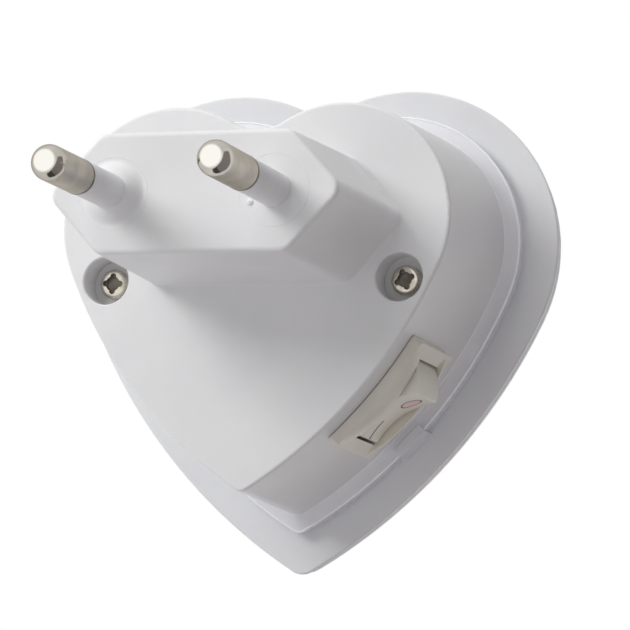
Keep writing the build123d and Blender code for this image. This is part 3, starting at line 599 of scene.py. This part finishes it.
def half_heart(sizes, grow, tip_radius):
    """Arcs of the +X half, grown by a margin, from notch to point: centre, radius, two bearings."""
    lobe_spacing, lobe_radius, side_radius, point_drop, notch_radius, heart_rise = sizes
    lobe = Vector((lobe_spacing, heart_rise))
    notch = Vector((0, heart_rise + math.sqrt((lobe_radius + notch_radius) ** 2 - lobe_spacing**2)))
    across = Vector((0, heart_rise - point_drop)) - lobe
    reach = side_radius - lobe_radius
    along = (reach**2 - side_radius**2 + across.length_squared) / (2 * across.length)
    aside = math.sqrt(reach**2 - along**2)
    side = lobe + across.normalized() * along + Vector((across.y, -across.x)).normalized() * aside
    tip = Vector((0, side.y - math.sqrt((side_radius + grow - tip_radius) ** 2 - side.x**2)))
    notch_turn = math.atan2(lobe.y - notch.y, lobe.x - notch.x)
    lobe_turn = math.atan2(lobe.y - side.y, lobe.x - side.x)
    tip_turn = math.atan2(tip.y - side.y, tip.x - side.x)
    return [
        (notch, notch_radius - grow, -math.pi / 2, notch_turn),
        (lobe, lobe_radius + grow, notch_turn + math.pi, lobe_turn),
        (side, side_radius + grow, lobe_turn, tip_turn),
        (tip, tip_radius, tip_turn, -math.pi / 2),
    ]


def heart_outline(name, sizes, grow, tip_radius, depth):
    """Closed ring of edges along the heart, at one depth."""
    right_half = []
    arcs = half_heart(sizes, grow, tip_radius)
    for centre, radius, first, last in arcs:
        for step in range(arc_steps):
            turn = first + (last - first) * step / arc_steps
            right_half.append((centre.x + radius * math.cos(turn), centre.y + radius * math.sin(turn)))
    tip, radius = arcs[-1][:2]
    left_half = [(-x, z) for x, z in reversed(right_half[1:])]
    ring = right_half + [(tip.x, tip.y - radius)] + left_half
    mesh = bpy.data.meshes.new(name)
    steps = [(step, (step + 1) % len(ring)) for step in range(len(ring))]
    mesh.from_pydata([(x, depth, z) for x, z in ring], steps, [])
    print(name, len(ring), "points,", round(max(x for x, z in ring) * 2, 4), "m wide")
    return mesh


# %% Dome tree
dome_tree, given, result = shape_tree(
    "puffed_heart",
    {"Columns": "Int", "Rows": "Int", "Middle": "Vector", "Rim Depth": "Float", "Height": "Float"},
)
outline = add_node(dome_tree, "GeometryNodeMeshToCurve", {"Mesh": given["Geometry"]})
sheet = add_node(
    dome_tree,
    "GeometryNodeMeshGrid",
    {"Size X": 1.0, "Size Y": 1.0, "Vertices X": given["Columns"], "Vertices Y": given["Rows"]},
)
sheet_place = add_node(dome_tree, "GeometryNodeInputPosition").outputs[0]
cell = add_node(dome_tree, "ShaderNodeSeparateXYZ", {0: sheet_place}).outputs
around = calc(dome_tree, "ADD", cell["X"], 0.5)
climb = calc(dome_tree, "ADD", cell["Y"], 0.5)
quarter = calc(dome_tree, "MULTIPLY", climb, math.pi / 2)
share = calc(dome_tree, "COSINE", quarter)
rise = calc(dome_tree, "SINE", quarter)
rim = add_node(
    dome_tree,
    "GeometryNodeSampleCurve",
    {"Curves": outline.outputs[0], "Factor": around},
    use_all_curves=True,
)
out = add_node(
    dome_tree, "ShaderNodeVectorMath", {0: rim.outputs["Position"], 1: given["Middle"]}, operation="SUBTRACT"
)
drawn_in = add_node(
    dome_tree, "ShaderNodeVectorMath", {0: out.outputs[0], "Scale": share}, operation="SCALE"
)
back_out = add_node(
    dome_tree, "ShaderNodeVectorMath", {0: drawn_in.outputs[0], 1: given["Middle"]}, operation="ADD"
)
flat = add_node(dome_tree, "ShaderNodeSeparateXYZ", {0: back_out.outputs[0]})
lift = calc(dome_tree, "MULTIPLY", rise, given["Height"])
depth = calc(dome_tree, "SUBTRACT", given["Rim Depth"], lift)
puffed = add_node(
    dome_tree,
    "ShaderNodeCombineXYZ",
    {"X": flat.outputs["X"], "Y": depth, "Z": flat.outputs["Z"]},
)
formed = add_node(
    dome_tree, "GeometryNodeSetPosition", {"Geometry": sheet.outputs["Mesh"], "Position": puffed.outputs[0]}
)
closed = add_node(
    dome_tree, "GeometryNodeMergeByDistance", {"Geometry": formed.outputs[0], "Distance": 0.000002}
)
close_tree(dome_tree, given, result, closed.outputs[0])
print("tree puffed_heart:", len(dome_tree.nodes), "nodes")

# %% Dome
dome_columns = 241
dome_rows = 49
dome_wall = 0.0015
dome_centre_drop = 0.009
dome_middle = shade_heart[-1] - dome_centre_drop
dome_inset = 0.00035
dome_tip = 0.0023
dome_low, dome_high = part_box("shade_dome")
dome = run_tree(
    "shade_dome_shell",
    dome_tree,
    {
        "Columns": dome_columns,
        "Rows": dome_rows,
        "Middle": (0, 0, dome_middle),
        "Rim Depth": dome_high.y,
        "Height": dome_high.y - dome_low.y,
        "Finish": finishes["shade_milky"],
    },
    heart_outline("dome_rim", shade_heart, -dome_inset, dome_tip, depth=0),
)
front_faces = sum(face.normal.y * face.area for face in dome.data.polygons)
if front_faces > 0:
    dome.data.flip_normals()
wall = dome.modifiers.new("wall", "SOLIDIFY")
wall.thickness = dome_wall
wall.offset = -1
stand_for(dome, "body", "shade_milky", "shade_dome")

# %% [markdown]
# ## Collar edge
#
# The clear collar shows fine bright lines along its edges: one round its rim and a finer one where it leaves
# the housing. Each is a small rounded bead in a pale finish that glows a little, a painted glow and highlight,
# so a tree runs a fine round section along a heart.

# %% Bead tree
bead_tree, given, result = shape_tree("edge_bead", {"Bead Radius": "Float"})
edge_line = add_node(bead_tree, "GeometryNodeMeshToCurve", {"Mesh": given["Geometry"]})
bead_skin = swept(bead_tree, edge_line.outputs[0], given["Bead Radius"], corners=10)
close_tree(bead_tree, given, result, bead_skin)

# %% Beads
housing_heart = (0.0102, 0.01352, 0.05588, 0.03146, 0.00612, 0.0002)
collar_overhang = 0.00225
collar_tip = 0.0012
collar_edge_depth = -0.03835
collar_root_depth = -0.0376
flank_draft = 0.00069
heart_tip = 0.0012
flank_tip = heart_tip + flank_draft
beads = {
    "collar_edge_bead": (0.00014, collar_overhang, collar_tip, collar_edge_depth),
    "collar_root_bead": (0.00008, flank_draft, flank_tip, collar_root_depth),
}
# Both beads take the pale edge finish, a painted glow and highlight.
for name, (bead_radius, grow, tip_radius, bead_depth) in beads.items():
    bead = run_tree(
        name,
        bead_tree,
        {"Bead Radius": bead_radius, "Finish": finishes["painted_edge_glow"]},
        heart_outline(name + "_line", housing_heart, grow, tip_radius, bead_depth),
    )
    stand_for(bead, "body", "clear_plastic")

# %% [markdown]
# ## Housing screws
#
# Two pan-head screws sit in deep holes in the back. A pan head has a nearly flat top and a round shoulder,
# which a ball gets when its width and height are raised to a power below one. The cross recess has a round
# middle and four shallower round-ended arms, cut with a boolean whose cutter is centred on the head's top, so
# it is twice as tall as the cut is deep. The recess walls are painted dark, painted shade in the recess. One
# screw is made and placed on two points, each turned as its driver left it.

# %% Screw tree
screw_tree, given, result = shape_tree(
    "cross_screw",
    {
        "Head Radius": "Float",
        "Head Height": "Float",
        "Shoulder": "Float",
        "Arm Reach": "Float",
        "Arm Width": "Float",
        "Middle Radius": "Float",
        "Recess Depth": "Float",
        "Shank Radius": "Float",
        "Shank Length": "Float",
        "Thread Turns": "Float",
        "Thread Radius": "Float",
        "Spacing": "Float",
        "Seat": "Vector",
        "First Turn": "Float",
        "Turn Step": "Float",
        "Recess Shade Finish": "Material",
    },
)
arm_depth_share = 0.7
thread_share = 0.85
thread_start = 0.95


def raised(tree, socket):
    """Offset along Z by a length."""
    return add_node(tree, "ShaderNodeCombineXYZ", {"Z": socket}).outputs[0]


blank = add_node(
    screw_tree,
    "GeometryNodeMeshUVSphere",
    {"Segments": 72, "Rings": 60, "Radius": 1.0},
)
head_place = add_node(screw_tree, "GeometryNodeInputPosition").outputs[0]
spot = add_node(screw_tree, "ShaderNodeSeparateXYZ", {0: head_place}).outputs
level = add_node(screw_tree, "ShaderNodeCombineXYZ", {"X": spot["X"], "Y": spot["Y"]})
spread = add_node(screw_tree, "ShaderNodeVectorMath", {0: level.outputs[0]}, operation="LENGTH")
boxed = calc(screw_tree, "POWER", spread.outputs["Value"], given["Shoulder"])
wide = calc(screw_tree, "MULTIPLY", boxed, given["Head Radius"])
outward = add_node(screw_tree, "ShaderNodeVectorMath", {0: level.outputs[0]}, operation="NORMALIZE")
disc = add_node(screw_tree, "ShaderNodeVectorMath", {0: outward.outputs[0], "Scale": wide}, operation="SCALE")
crown = calc(screw_tree, "POWER", calc(screw_tree, "MAXIMUM", spot["Z"], 0.0), given["Shoulder"])
tall = raised(screw_tree, calc(screw_tree, "MULTIPLY", crown, given["Head Height"]))
pan = add_node(screw_tree, "ShaderNodeVectorMath", {0: disc.outputs[0], 1: tall}, operation="ADD")
head = add_node(
    screw_tree, "GeometryNodeSetPosition", {"Geometry": blank.outputs["Mesh"], "Position": pan.outputs[0]}
)
head_skin = add_node(
    screw_tree, "GeometryNodeMergeByDistance", {"Geometry": head.outputs[0], "Distance": 0.000004}
)

recess_height = calc(screw_tree, "MULTIPLY", given["Recess Depth"], 2.0)
middle = add_node(
    screw_tree,
    "GeometryNodeMeshCylinder",
    {"Vertices": 40, "Radius": given["Middle Radius"], "Depth": recess_height},
)
arm_round = calc(screw_tree, "MULTIPLY", given["Arm Width"], 0.5)
arm_reach = calc(screw_tree, "SUBTRACT", given["Arm Reach"], arm_round)
arm_height = calc(screw_tree, "MULTIPLY", given["Recess Depth"], 2 * arm_depth_share)
arm_end = add_node(
    screw_tree, "GeometryNodeMeshCylinder", {"Vertices": 24, "Radius": arm_round, "Depth": arm_height}
)
arm_tips = add_node(
    screw_tree, "GeometryNodeMeshCircle", {"Vertices": 4, "Radius": arm_reach}, fill_type="NONE"
)
arm_ends = add_node(
    screw_tree,
    "GeometryNodeInstanceOnPoints",
    {"Points": arm_tips.outputs[0], "Instance": arm_end.outputs["Mesh"]},
)
ends = add_node(screw_tree, "GeometryNodeRealizeInstances", {"Geometry": arm_ends.outputs[0]})
bar_length = calc(screw_tree, "MULTIPLY", arm_reach, 2.0)
bars = []
for long_axis, short_axis in (("X", "Y"), ("Y", "X")):
    bar_size = add_node(
        screw_tree,
        "ShaderNodeCombineXYZ",
        {long_axis: bar_length, short_axis: given["Arm Width"], "Z": arm_height},
    )
    bars.append(add_node(screw_tree, "GeometryNodeMeshCube", {"Size": bar_size.outputs[0]}).outputs["Mesh"])
cutter = add_node(
    screw_tree, "GeometryNodeMeshBoolean", {"Self Intersection": True}, operation="UNION", solver="EXACT"
)
for shape in (middle.outputs["Mesh"], ends.outputs[0], *bars):
    screw_tree.links.new(shape, cutter.inputs["Mesh 2"])
# The cutter's faces become the recess walls and take the dark finish: painted shade in the recess.
shaded_cutter = add_node(
    screw_tree,
    "GeometryNodeSetMaterial",
    {"Geometry": cutter.outputs["Mesh"], "Material": given["Recess Shade Finish"]},
)
sunk = add_node(
    screw_tree,
    "GeometryNodeTransform",
    {"Geometry": shaded_cutter.outputs[0], "Translation": raised(screw_tree, given["Head Height"])},
)
cut_head = add_node(
    screw_tree,
    "GeometryNodeMeshBoolean",
    {"Mesh 1": head_skin.outputs[0], "Mesh 2": sunk.outputs[0]},
    operation="DIFFERENCE",
    solver="EXACT",
)

shank = add_node(
    screw_tree,
    "GeometryNodeMeshCylinder",
    {"Vertices": 40, "Radius": given["Shank Radius"], "Depth": given["Shank Length"]},
)
shank_drop = raised(screw_tree, calc(screw_tree, "MULTIPLY", given["Shank Length"], -0.5))
hung = add_node(
    screw_tree, "GeometryNodeTransform", {"Geometry": shank.outputs["Mesh"], "Translation": shank_drop}
)
helix = add_node(
    screw_tree,
    "GeometryNodeCurveSpiral",
    {
        "Resolution": 28,
        "Rotations": given["Thread Turns"],
        "Start Radius": given["Shank Radius"],
        "End Radius": given["Shank Radius"],
        "Height": calc(screw_tree, "MULTIPLY", given["Shank Length"], thread_share),
    },
)
thread = swept(screw_tree, helix.outputs[0], given["Thread Radius"], corners=8, capped=True)
thread_drop = raised(screw_tree, calc(screw_tree, "MULTIPLY", given["Shank Length"], -thread_start))
wound = add_node(screw_tree, "GeometryNodeTransform", {"Geometry": thread, "Translation": thread_drop})
one_screw = add_node(screw_tree, "GeometryNodeJoinGeometry")
for shape in (cut_head.outputs["Mesh"], hung.outputs[0], wound.outputs[0]):
    screw_tree.links.new(shape, one_screw.inputs[0])

row = point_pair(screw_tree, given["Spacing"])
number = add_node(screw_tree, "GeometryNodeInputIndex")
turn_by = calc(screw_tree, "MULTIPLY_ADD", number.outputs[0], given["Turn Step"], given["First Turn"])
driven = add_node(screw_tree, "ShaderNodeCombineXYZ", {"Y": turn_by})
upright = add_node(
    screw_tree,
    "GeometryNodeTransform",
    {"Geometry": one_screw.outputs[0], "Rotation": (-math.pi / 2, 0, 0)},
)
pair = add_node(
    screw_tree,
    "GeometryNodeInstanceOnPoints",
    {"Points": row, "Instance": upright.outputs[0], "Rotation": driven.outputs[0]},
)
seated = add_node(
    screw_tree, "GeometryNodeTransform", {"Geometry": pair.outputs[0], "Translation": given["Seat"]}
)
recess_faces = add_node(screw_tree, "GeometryNodeMaterialSelection", {"Material": given["Recess Shade Finish"]})
bright_faces = add_node(
    screw_tree, "FunctionNodeBooleanMath", {0: recess_faces.outputs[0]}, operation="NOT"
)
close_tree(screw_tree, given, result, seated.outputs[0], bright_faces.outputs[0])
print("tree cross_screw:", len(screw_tree.nodes), "nodes")

# %% Screws
screw_low, screw_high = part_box("housing_screws")
screw_head_height = 0.0014
screws = run_tree(
    "housing_screw_pair",
    screw_tree,
    {
        "Head Radius": 0.00175,
        "Head Height": screw_head_height,
        "Shoulder": 0.36,
        "Arm Reach": 0.00124,
        "Arm Width": 0.00074,
        "Middle Radius": 0.00088,
        "Recess Depth": 0.0007,
        "Shank Radius": 0.00095,
        "Shank Length": screw_high.y - screw_low.y - screw_head_height,
        "Thread Turns": 9.0,
        "Thread Radius": 0.0001,
        "Spacing": screw_high.x - screw_low.x - (screw_high.z - screw_low.z),
        "Seat": (0, screw_high.y - screw_head_height, (screw_high.z + screw_low.z) / 2),
        "First Turn": math.radians(20),
        "Turn Step": math.radians(-22),
        "Recess Shade Finish": finishes["painted_shade_metal"],
        "Finish": finishes["screw_nickel"],
    },
)
screws.data.set_sharp_from_angle(angle=edge_angle)
stand_for(screws, "body", "screw_nickel", "housing_screws")

# %% [markdown]
# ## Switch spring
#
# A small steel spring in the rocker presses the plunger on the contact. A spring is wire along a spiral, so
# the tree runs a round section along a Curve Spiral and turns it to the plunger's direction.

# %% Spring tree
spring_tree, given, result = shape_tree(
    "coil_spring",
    {
        "Coil Radius": "Float",
        "Wire Radius": "Float",
        "Turns": "Float",
        "Length": "Float",
        "Foot": "Vector",
        "Direction": "Vector",
    },
)
coil = add_node(
    spring_tree,
    "GeometryNodeCurveSpiral",
    {
        "Resolution": 32,
        "Rotations": given["Turns"],
        "Start Radius": given["Coil Radius"],
        "End Radius": given["Coil Radius"],
        "Height": given["Length"],
    },
)
wire = swept(spring_tree, coil.outputs[0], given["Wire Radius"], corners=12, capped=True)
aligned = add_node(
    spring_tree, "FunctionNodeAlignRotationToVector", {"Vector": given["Direction"]}, axis="Z"
)
stood = add_node(
    spring_tree,
    "GeometryNodeTransform",
    {"Geometry": wire, "Translation": given["Foot"], "Rotation": aligned.outputs[0]},
)
close_tree(spring_tree, given, result, stood.outputs[0])
print("tree coil_spring:", len(spring_tree.nodes), "nodes")

# %% Spring
rocker_up = Vector(joints["plunger_slide"]["axis"]).normalized()
spring_low, spring_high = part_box("plunger_spring")
spring_middle = (spring_low + spring_high) / 2
spring_wire = 0.000125
spring_coil = 0.000625
spring_length = 0.0026
coil_length = spring_length - 2 * spring_wire
spring = run_tree(
    "plunger_coil",
    spring_tree,
    {
        "Coil Radius": spring_coil,
        "Wire Radius": spring_wire,
        "Turns": 5.5,
        "Length": coil_length,
        "Foot": spring_middle - rocker_up * coil_length / 2,
        "Direction": rocker_up,
        "Finish": finishes["spring_steel"],
    },
)
stand_for(spring, "rocker", "spring_steel", "plunger_spring")
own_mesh(spring)

# %% [markdown]
# ## Pin sleeves
#
# The inner half of each pin wears a white insulating sleeve, nearly flush with the metal. Where it ends, a fine
# ring in the dark finish stands just proud of the metal, painted shade for the gap there. Both are turned
# parts, so their sections are turned round the pin's axis.

# %% Sleeves
sleeve_radius = 0.00196
sleeve_bore = 0.00142
sleeve_round = 0.00014
round_drop = 0.3 * sleeve_round
seam_radius = 0.00201
seam_width = 0.00042
turn_steps = 72
for side in ("left", "right"):
    low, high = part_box("pin_sleeve_" + side)
    axis_x = (low.x + high.x) / 2
    seam_start = high.y - seam_width
    section = [
        (sleeve_bore, low.y),
        (sleeve_radius, low.y),
        (sleeve_radius, seam_start - sleeve_round),
        (sleeve_radius - round_drop, seam_start),
        (sleeve_bore, seam_start),
    ]
    sleeve_mesh = turned_mesh("sleeve_" + side, section, axis_x, turn_steps)
    sleeve = new_piece("sleeve_" + side, sleeve_mesh, "sleeve_white")
    stand_for(sleeve, "body", "sleeve_white", "pin_sleeve_" + side)
    # A ring in the dark finish, a hair proud of the metal: painted shade for the gap where the sleeve ends.
    gap_shade_section = [
        (sleeve_bore, seam_start),
        (seam_radius, seam_start),
        (seam_radius, high.y),
        (sleeve_bore, high.y),
    ]
    gap_shade_mesh = turned_mesh("seam_" + side, gap_shade_section, axis_x, turn_steps)
    gap_shade_ring = new_piece("seam_" + side, gap_shade_mesh, "painted_shade_metal")
    stand_for(gap_shade_ring, "body", "nickel")

# %% [markdown]
# ## Swell at the left pin's foot
#
# In the picture, the plug's face swells round the foot of the left pin. The swell is a smooth step turned
# round the pin's axis, level at its foot and at its top.

# %% Swell
swell_outer = 0.0038
swell_inner = 0.00197
swell_height = 0.0014
swell_sunk = 0.0002
swell_steps = 16
swell_section = [(sleeve_bore, -swell_sunk), (swell_outer, -swell_sunk)]
for step in range(swell_steps + 1):
    share = step / swell_steps
    climb = share**2 * (3 - 2 * share)
    swell_section.append((swell_outer + (swell_inner - swell_outer) * share, swell_height * climb))
swell_section.append((sleeve_bore, swell_height))
left_low, left_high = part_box("pin_sleeve_left")
swell_mesh = turned_mesh("pin_swell", swell_section, (left_low.x + left_high.x) / 2, turn_steps)
swell = new_piece("pin_swell", swell_mesh, "housing_white")
stand_for(swell, "body", "housing_white")

# %% [markdown]
# ## Mould marks on the plug's face
#
# The mould leaves a faint ring round each pin and a small drop where the plastic ran in. The rings repeat, so
# a tree sweeps a fine round section along a circle and places it at both pins. The drop is turned like the
# sleeves, and lies where the picture shows it on the plug's face.

# %% Ring tree
ring_tree, given, result = shape_tree(
    "witness_rings", {"Ring Radius": "Float", "Line Radius": "Float", "Spacing": "Float", "Face": "Float"}
)
circle = add_node(
    ring_tree, "GeometryNodeCurvePrimitiveCircle", {"Resolution": 96, "Radius": given["Ring Radius"]}
)
ring_skin = swept(ring_tree, circle.outputs[0], given["Line Radius"], corners=8)
facing = add_node(
    ring_tree, "GeometryNodeTransform", {"Geometry": ring_skin, "Rotation": (-math.pi / 2, 0, 0)}
)
pins = point_pair(ring_tree, given["Spacing"], given["Face"])
both = add_node(ring_tree, "GeometryNodeInstanceOnPoints", {"Points": pins, "Instance": facing.outputs[0]})
close_tree(ring_tree, given, result, both.outputs[0])

# %% Rings
pin_left_low, pin_left_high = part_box("plug_pin_left")
pin_x = (pin_left_low.x + pin_left_high.x) / 2
rings = run_tree(
    "witness_rings",
    ring_tree,
    {
        "Ring Radius": 0.0041,
        "Line Radius": 0.00005,
        "Spacing": 2 * pin_x,
        "Face": -0.00002,
        "Finish": finishes["housing_white"],
    },
)
stand_for(rings, "body", "housing_white")


# %% Gate drop
def seen_on_plug_face(column, row):
    """Place on the plug's face that falls on a pixel of the picture."""
    middle = photo_pixels / 2
    aside = camera_right * (column - middle) / focal_pixels
    ahead = aside - camera_up * (row - middle) / focal_pixels - camera_back
    return camera_place - ahead * (camera_place.y / ahead.y)


drop_column, drop_row = 250, 202
drop_place = seen_on_plug_face(drop_column, drop_row)
drop_radius = 0.00038
drop_height = 0.00022
drop_steps = 10
drop_turn_steps = 32
drop_flat = 0.12
drop_sunk = drop_height * 0.5
drop_section = [(drop_radius * drop_flat, -drop_sunk), (drop_radius, -drop_sunk)]
for step in range(drop_steps + 1):
    turn = math.pi / 2 * step / drop_steps
    reach = drop_radius * (drop_flat + (1 - drop_flat) * math.cos(turn))
    drop_section.append((reach, drop_height * math.sin(turn)))
drop_mesh = turned_mesh("gate_drop", drop_section, axis_x=0, steps=drop_turn_steps)
drop_mesh.transform(Matrix.Translation((drop_place.x, 0, drop_place.z)))
drop = new_piece("gate_drop", drop_mesh, "housing_white")
stand_for(drop, "body", "housing_white")

# %% [markdown]
# ## Switch marks
#
# The rocker carries a ring for off, in thin red ink with a pink wash, and a line for on. They are printed on
# the dished top, so each is a thin skin whose height follows the dish's arc.

# %% Inks
inks = {
    "ink_red": ((0.20, 0.08, 0.09), (0.30, 0.14, 0.14)),
    "ink_pink": ((0.76, 0.54, 0.52), (0.82, 0.64, 0.60)),
    "ink_dark": ((0.16, 0.10, 0.09), (0.24, 0.16, 0.14)),
}
ink_look = (900, 4000, (0.5, 0.6), 0.000001)
for slot, colors in inks.items():
    finish(slot, moulded, *colors, *ink_look)
print("inks:", sorted(inks))

# %% Marks
rocker_pivot = Vector(joints["rocker_tilt"]["pos_m"])
rocker_hinge = Vector(joints["rocker_tilt"]["axis"]).normalized()
rocker_along = rocker_up.cross(rocker_hinge).normalized()
dish_radius = 0.00915
dish_bottom = 0.003461
ink_height = 0.00002
off_offset = 0.0022
on_offset = 0.00285
mark_shift = 0.00055


def on_dish(along, across):
    """Place on the rocker's dished top, a skin of ink above it."""
    height = dish_bottom + dish_radius - math.sqrt(dish_radius**2 - along**2) + ink_height
    flat_place = rocker_pivot + rocker_along * along + rocker_hinge * (across - mark_shift)
    return flat_place + rocker_up * height


def ink_skin(name, rings_of_points, slot):
    """Strip of quads between rows of dish places, facing out of the rocker."""
    corners = [on_dish(*point) for ring in rings_of_points for point in ring]
    count = len(rings_of_points[0])
    faces = []
    for ring in range(len(rings_of_points) - 1):
        for point in range(count - 1):
            first = ring * count + point
            faces.append((first, first + 1, first + count + 1, first + count))
    mesh = bpy.data.meshes.new(name)
    mesh.from_pydata(corners, [], faces)
    if mesh.polygons[0].normal.dot(rocker_up) < 0:
        mesh.flip_normals()
    mesh.shade_smooth()
    piece = new_piece(name, mesh, slot)
    stand_for(piece, "rocker", "switch_cream")


def mark_ring(radius, steps=64):
    """Closed ring of (along, across) places round the off mark."""
    turns = [math.tau * step / steps for step in range(steps + 1)]
    return [(radius * math.cos(turn) - off_offset, radius * math.sin(turn)) for turn in turns]


off_outer = 0.00125
off_inner = 0.00105
on_half_length = 0.00125
on_half_width = 0.00013
on_steps = 12
wash_shares = (0.05, 0.35, 0.7, 1.0)
ink_skin("off_ring", [mark_ring(off_inner), mark_ring(off_outer)], "ink_red")
ink_skin("off_wash", [mark_ring(off_inner * share) for share in wash_shares], "ink_pink")
on_start = on_offset - on_half_length
on_places = [on_start + 2 * on_half_length * step / on_steps for step in range(on_steps + 1)]
on_edges = [[(along, edge) for along in on_places] for edge in (-on_half_width, on_half_width)]
ink_skin("on_line", on_edges, "ink_dark")

# %% [markdown]
# ## Softened edges
#
# Moulded edges are never quite sharp, and a fine rounded edge catches a line of light. The collar, the
# switch's bezel and its rocker are seen from close by, so copies of their imported meshes are merged and
# bevelled. The collar's bevelled edges take the beads' pale finish, with its painted glow.

# %% Softened copies
merge_distance = 0.000001
collar_softness = 0.00016
switch_softness = 0.00012


def softened(name, node, body, slot, width, edge_slot=None):
    """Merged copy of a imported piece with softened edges, which may have a finish of their own."""
    mesh = frame["nodes"][node].data.copy()
    mesh.name = name
    skin = bmesh.new()
    skin.from_mesh(mesh)
    bmesh.ops.remove_doubles(skin, verts=skin.verts, dist=merge_distance)
    bmesh.ops.dissolve_degenerate(skin, edges=skin.edges, dist=merge_distance)
    skin.to_mesh(mesh)
    skin.free()
    if "custom_normal" in mesh.attributes:
        mesh.attributes.remove(mesh.attributes["custom_normal"])
    mesh.shade_smooth()
    mesh.set_sharp_from_angle(angle=edge_angle)
    piece = new_piece(name, mesh, slot)
    if edge_slot:
        mesh.materials.append(finishes[edge_slot])
    soften(piece, width, len(mesh.materials) - 1)
    stand_for(piece, body, slot, node)


# The collar's bevelled edges take the pale edge finish, a painted glow.
softened("collar_clear", "clear_collar", "body", "clear_plastic", collar_softness, "painted_edge_glow")
softened("switch_bezel", "switch_case", "body", "switch_cream", switch_softness)
softened("rocker_cap", "switch_rocker", "rocker", "switch_cream", switch_softness)
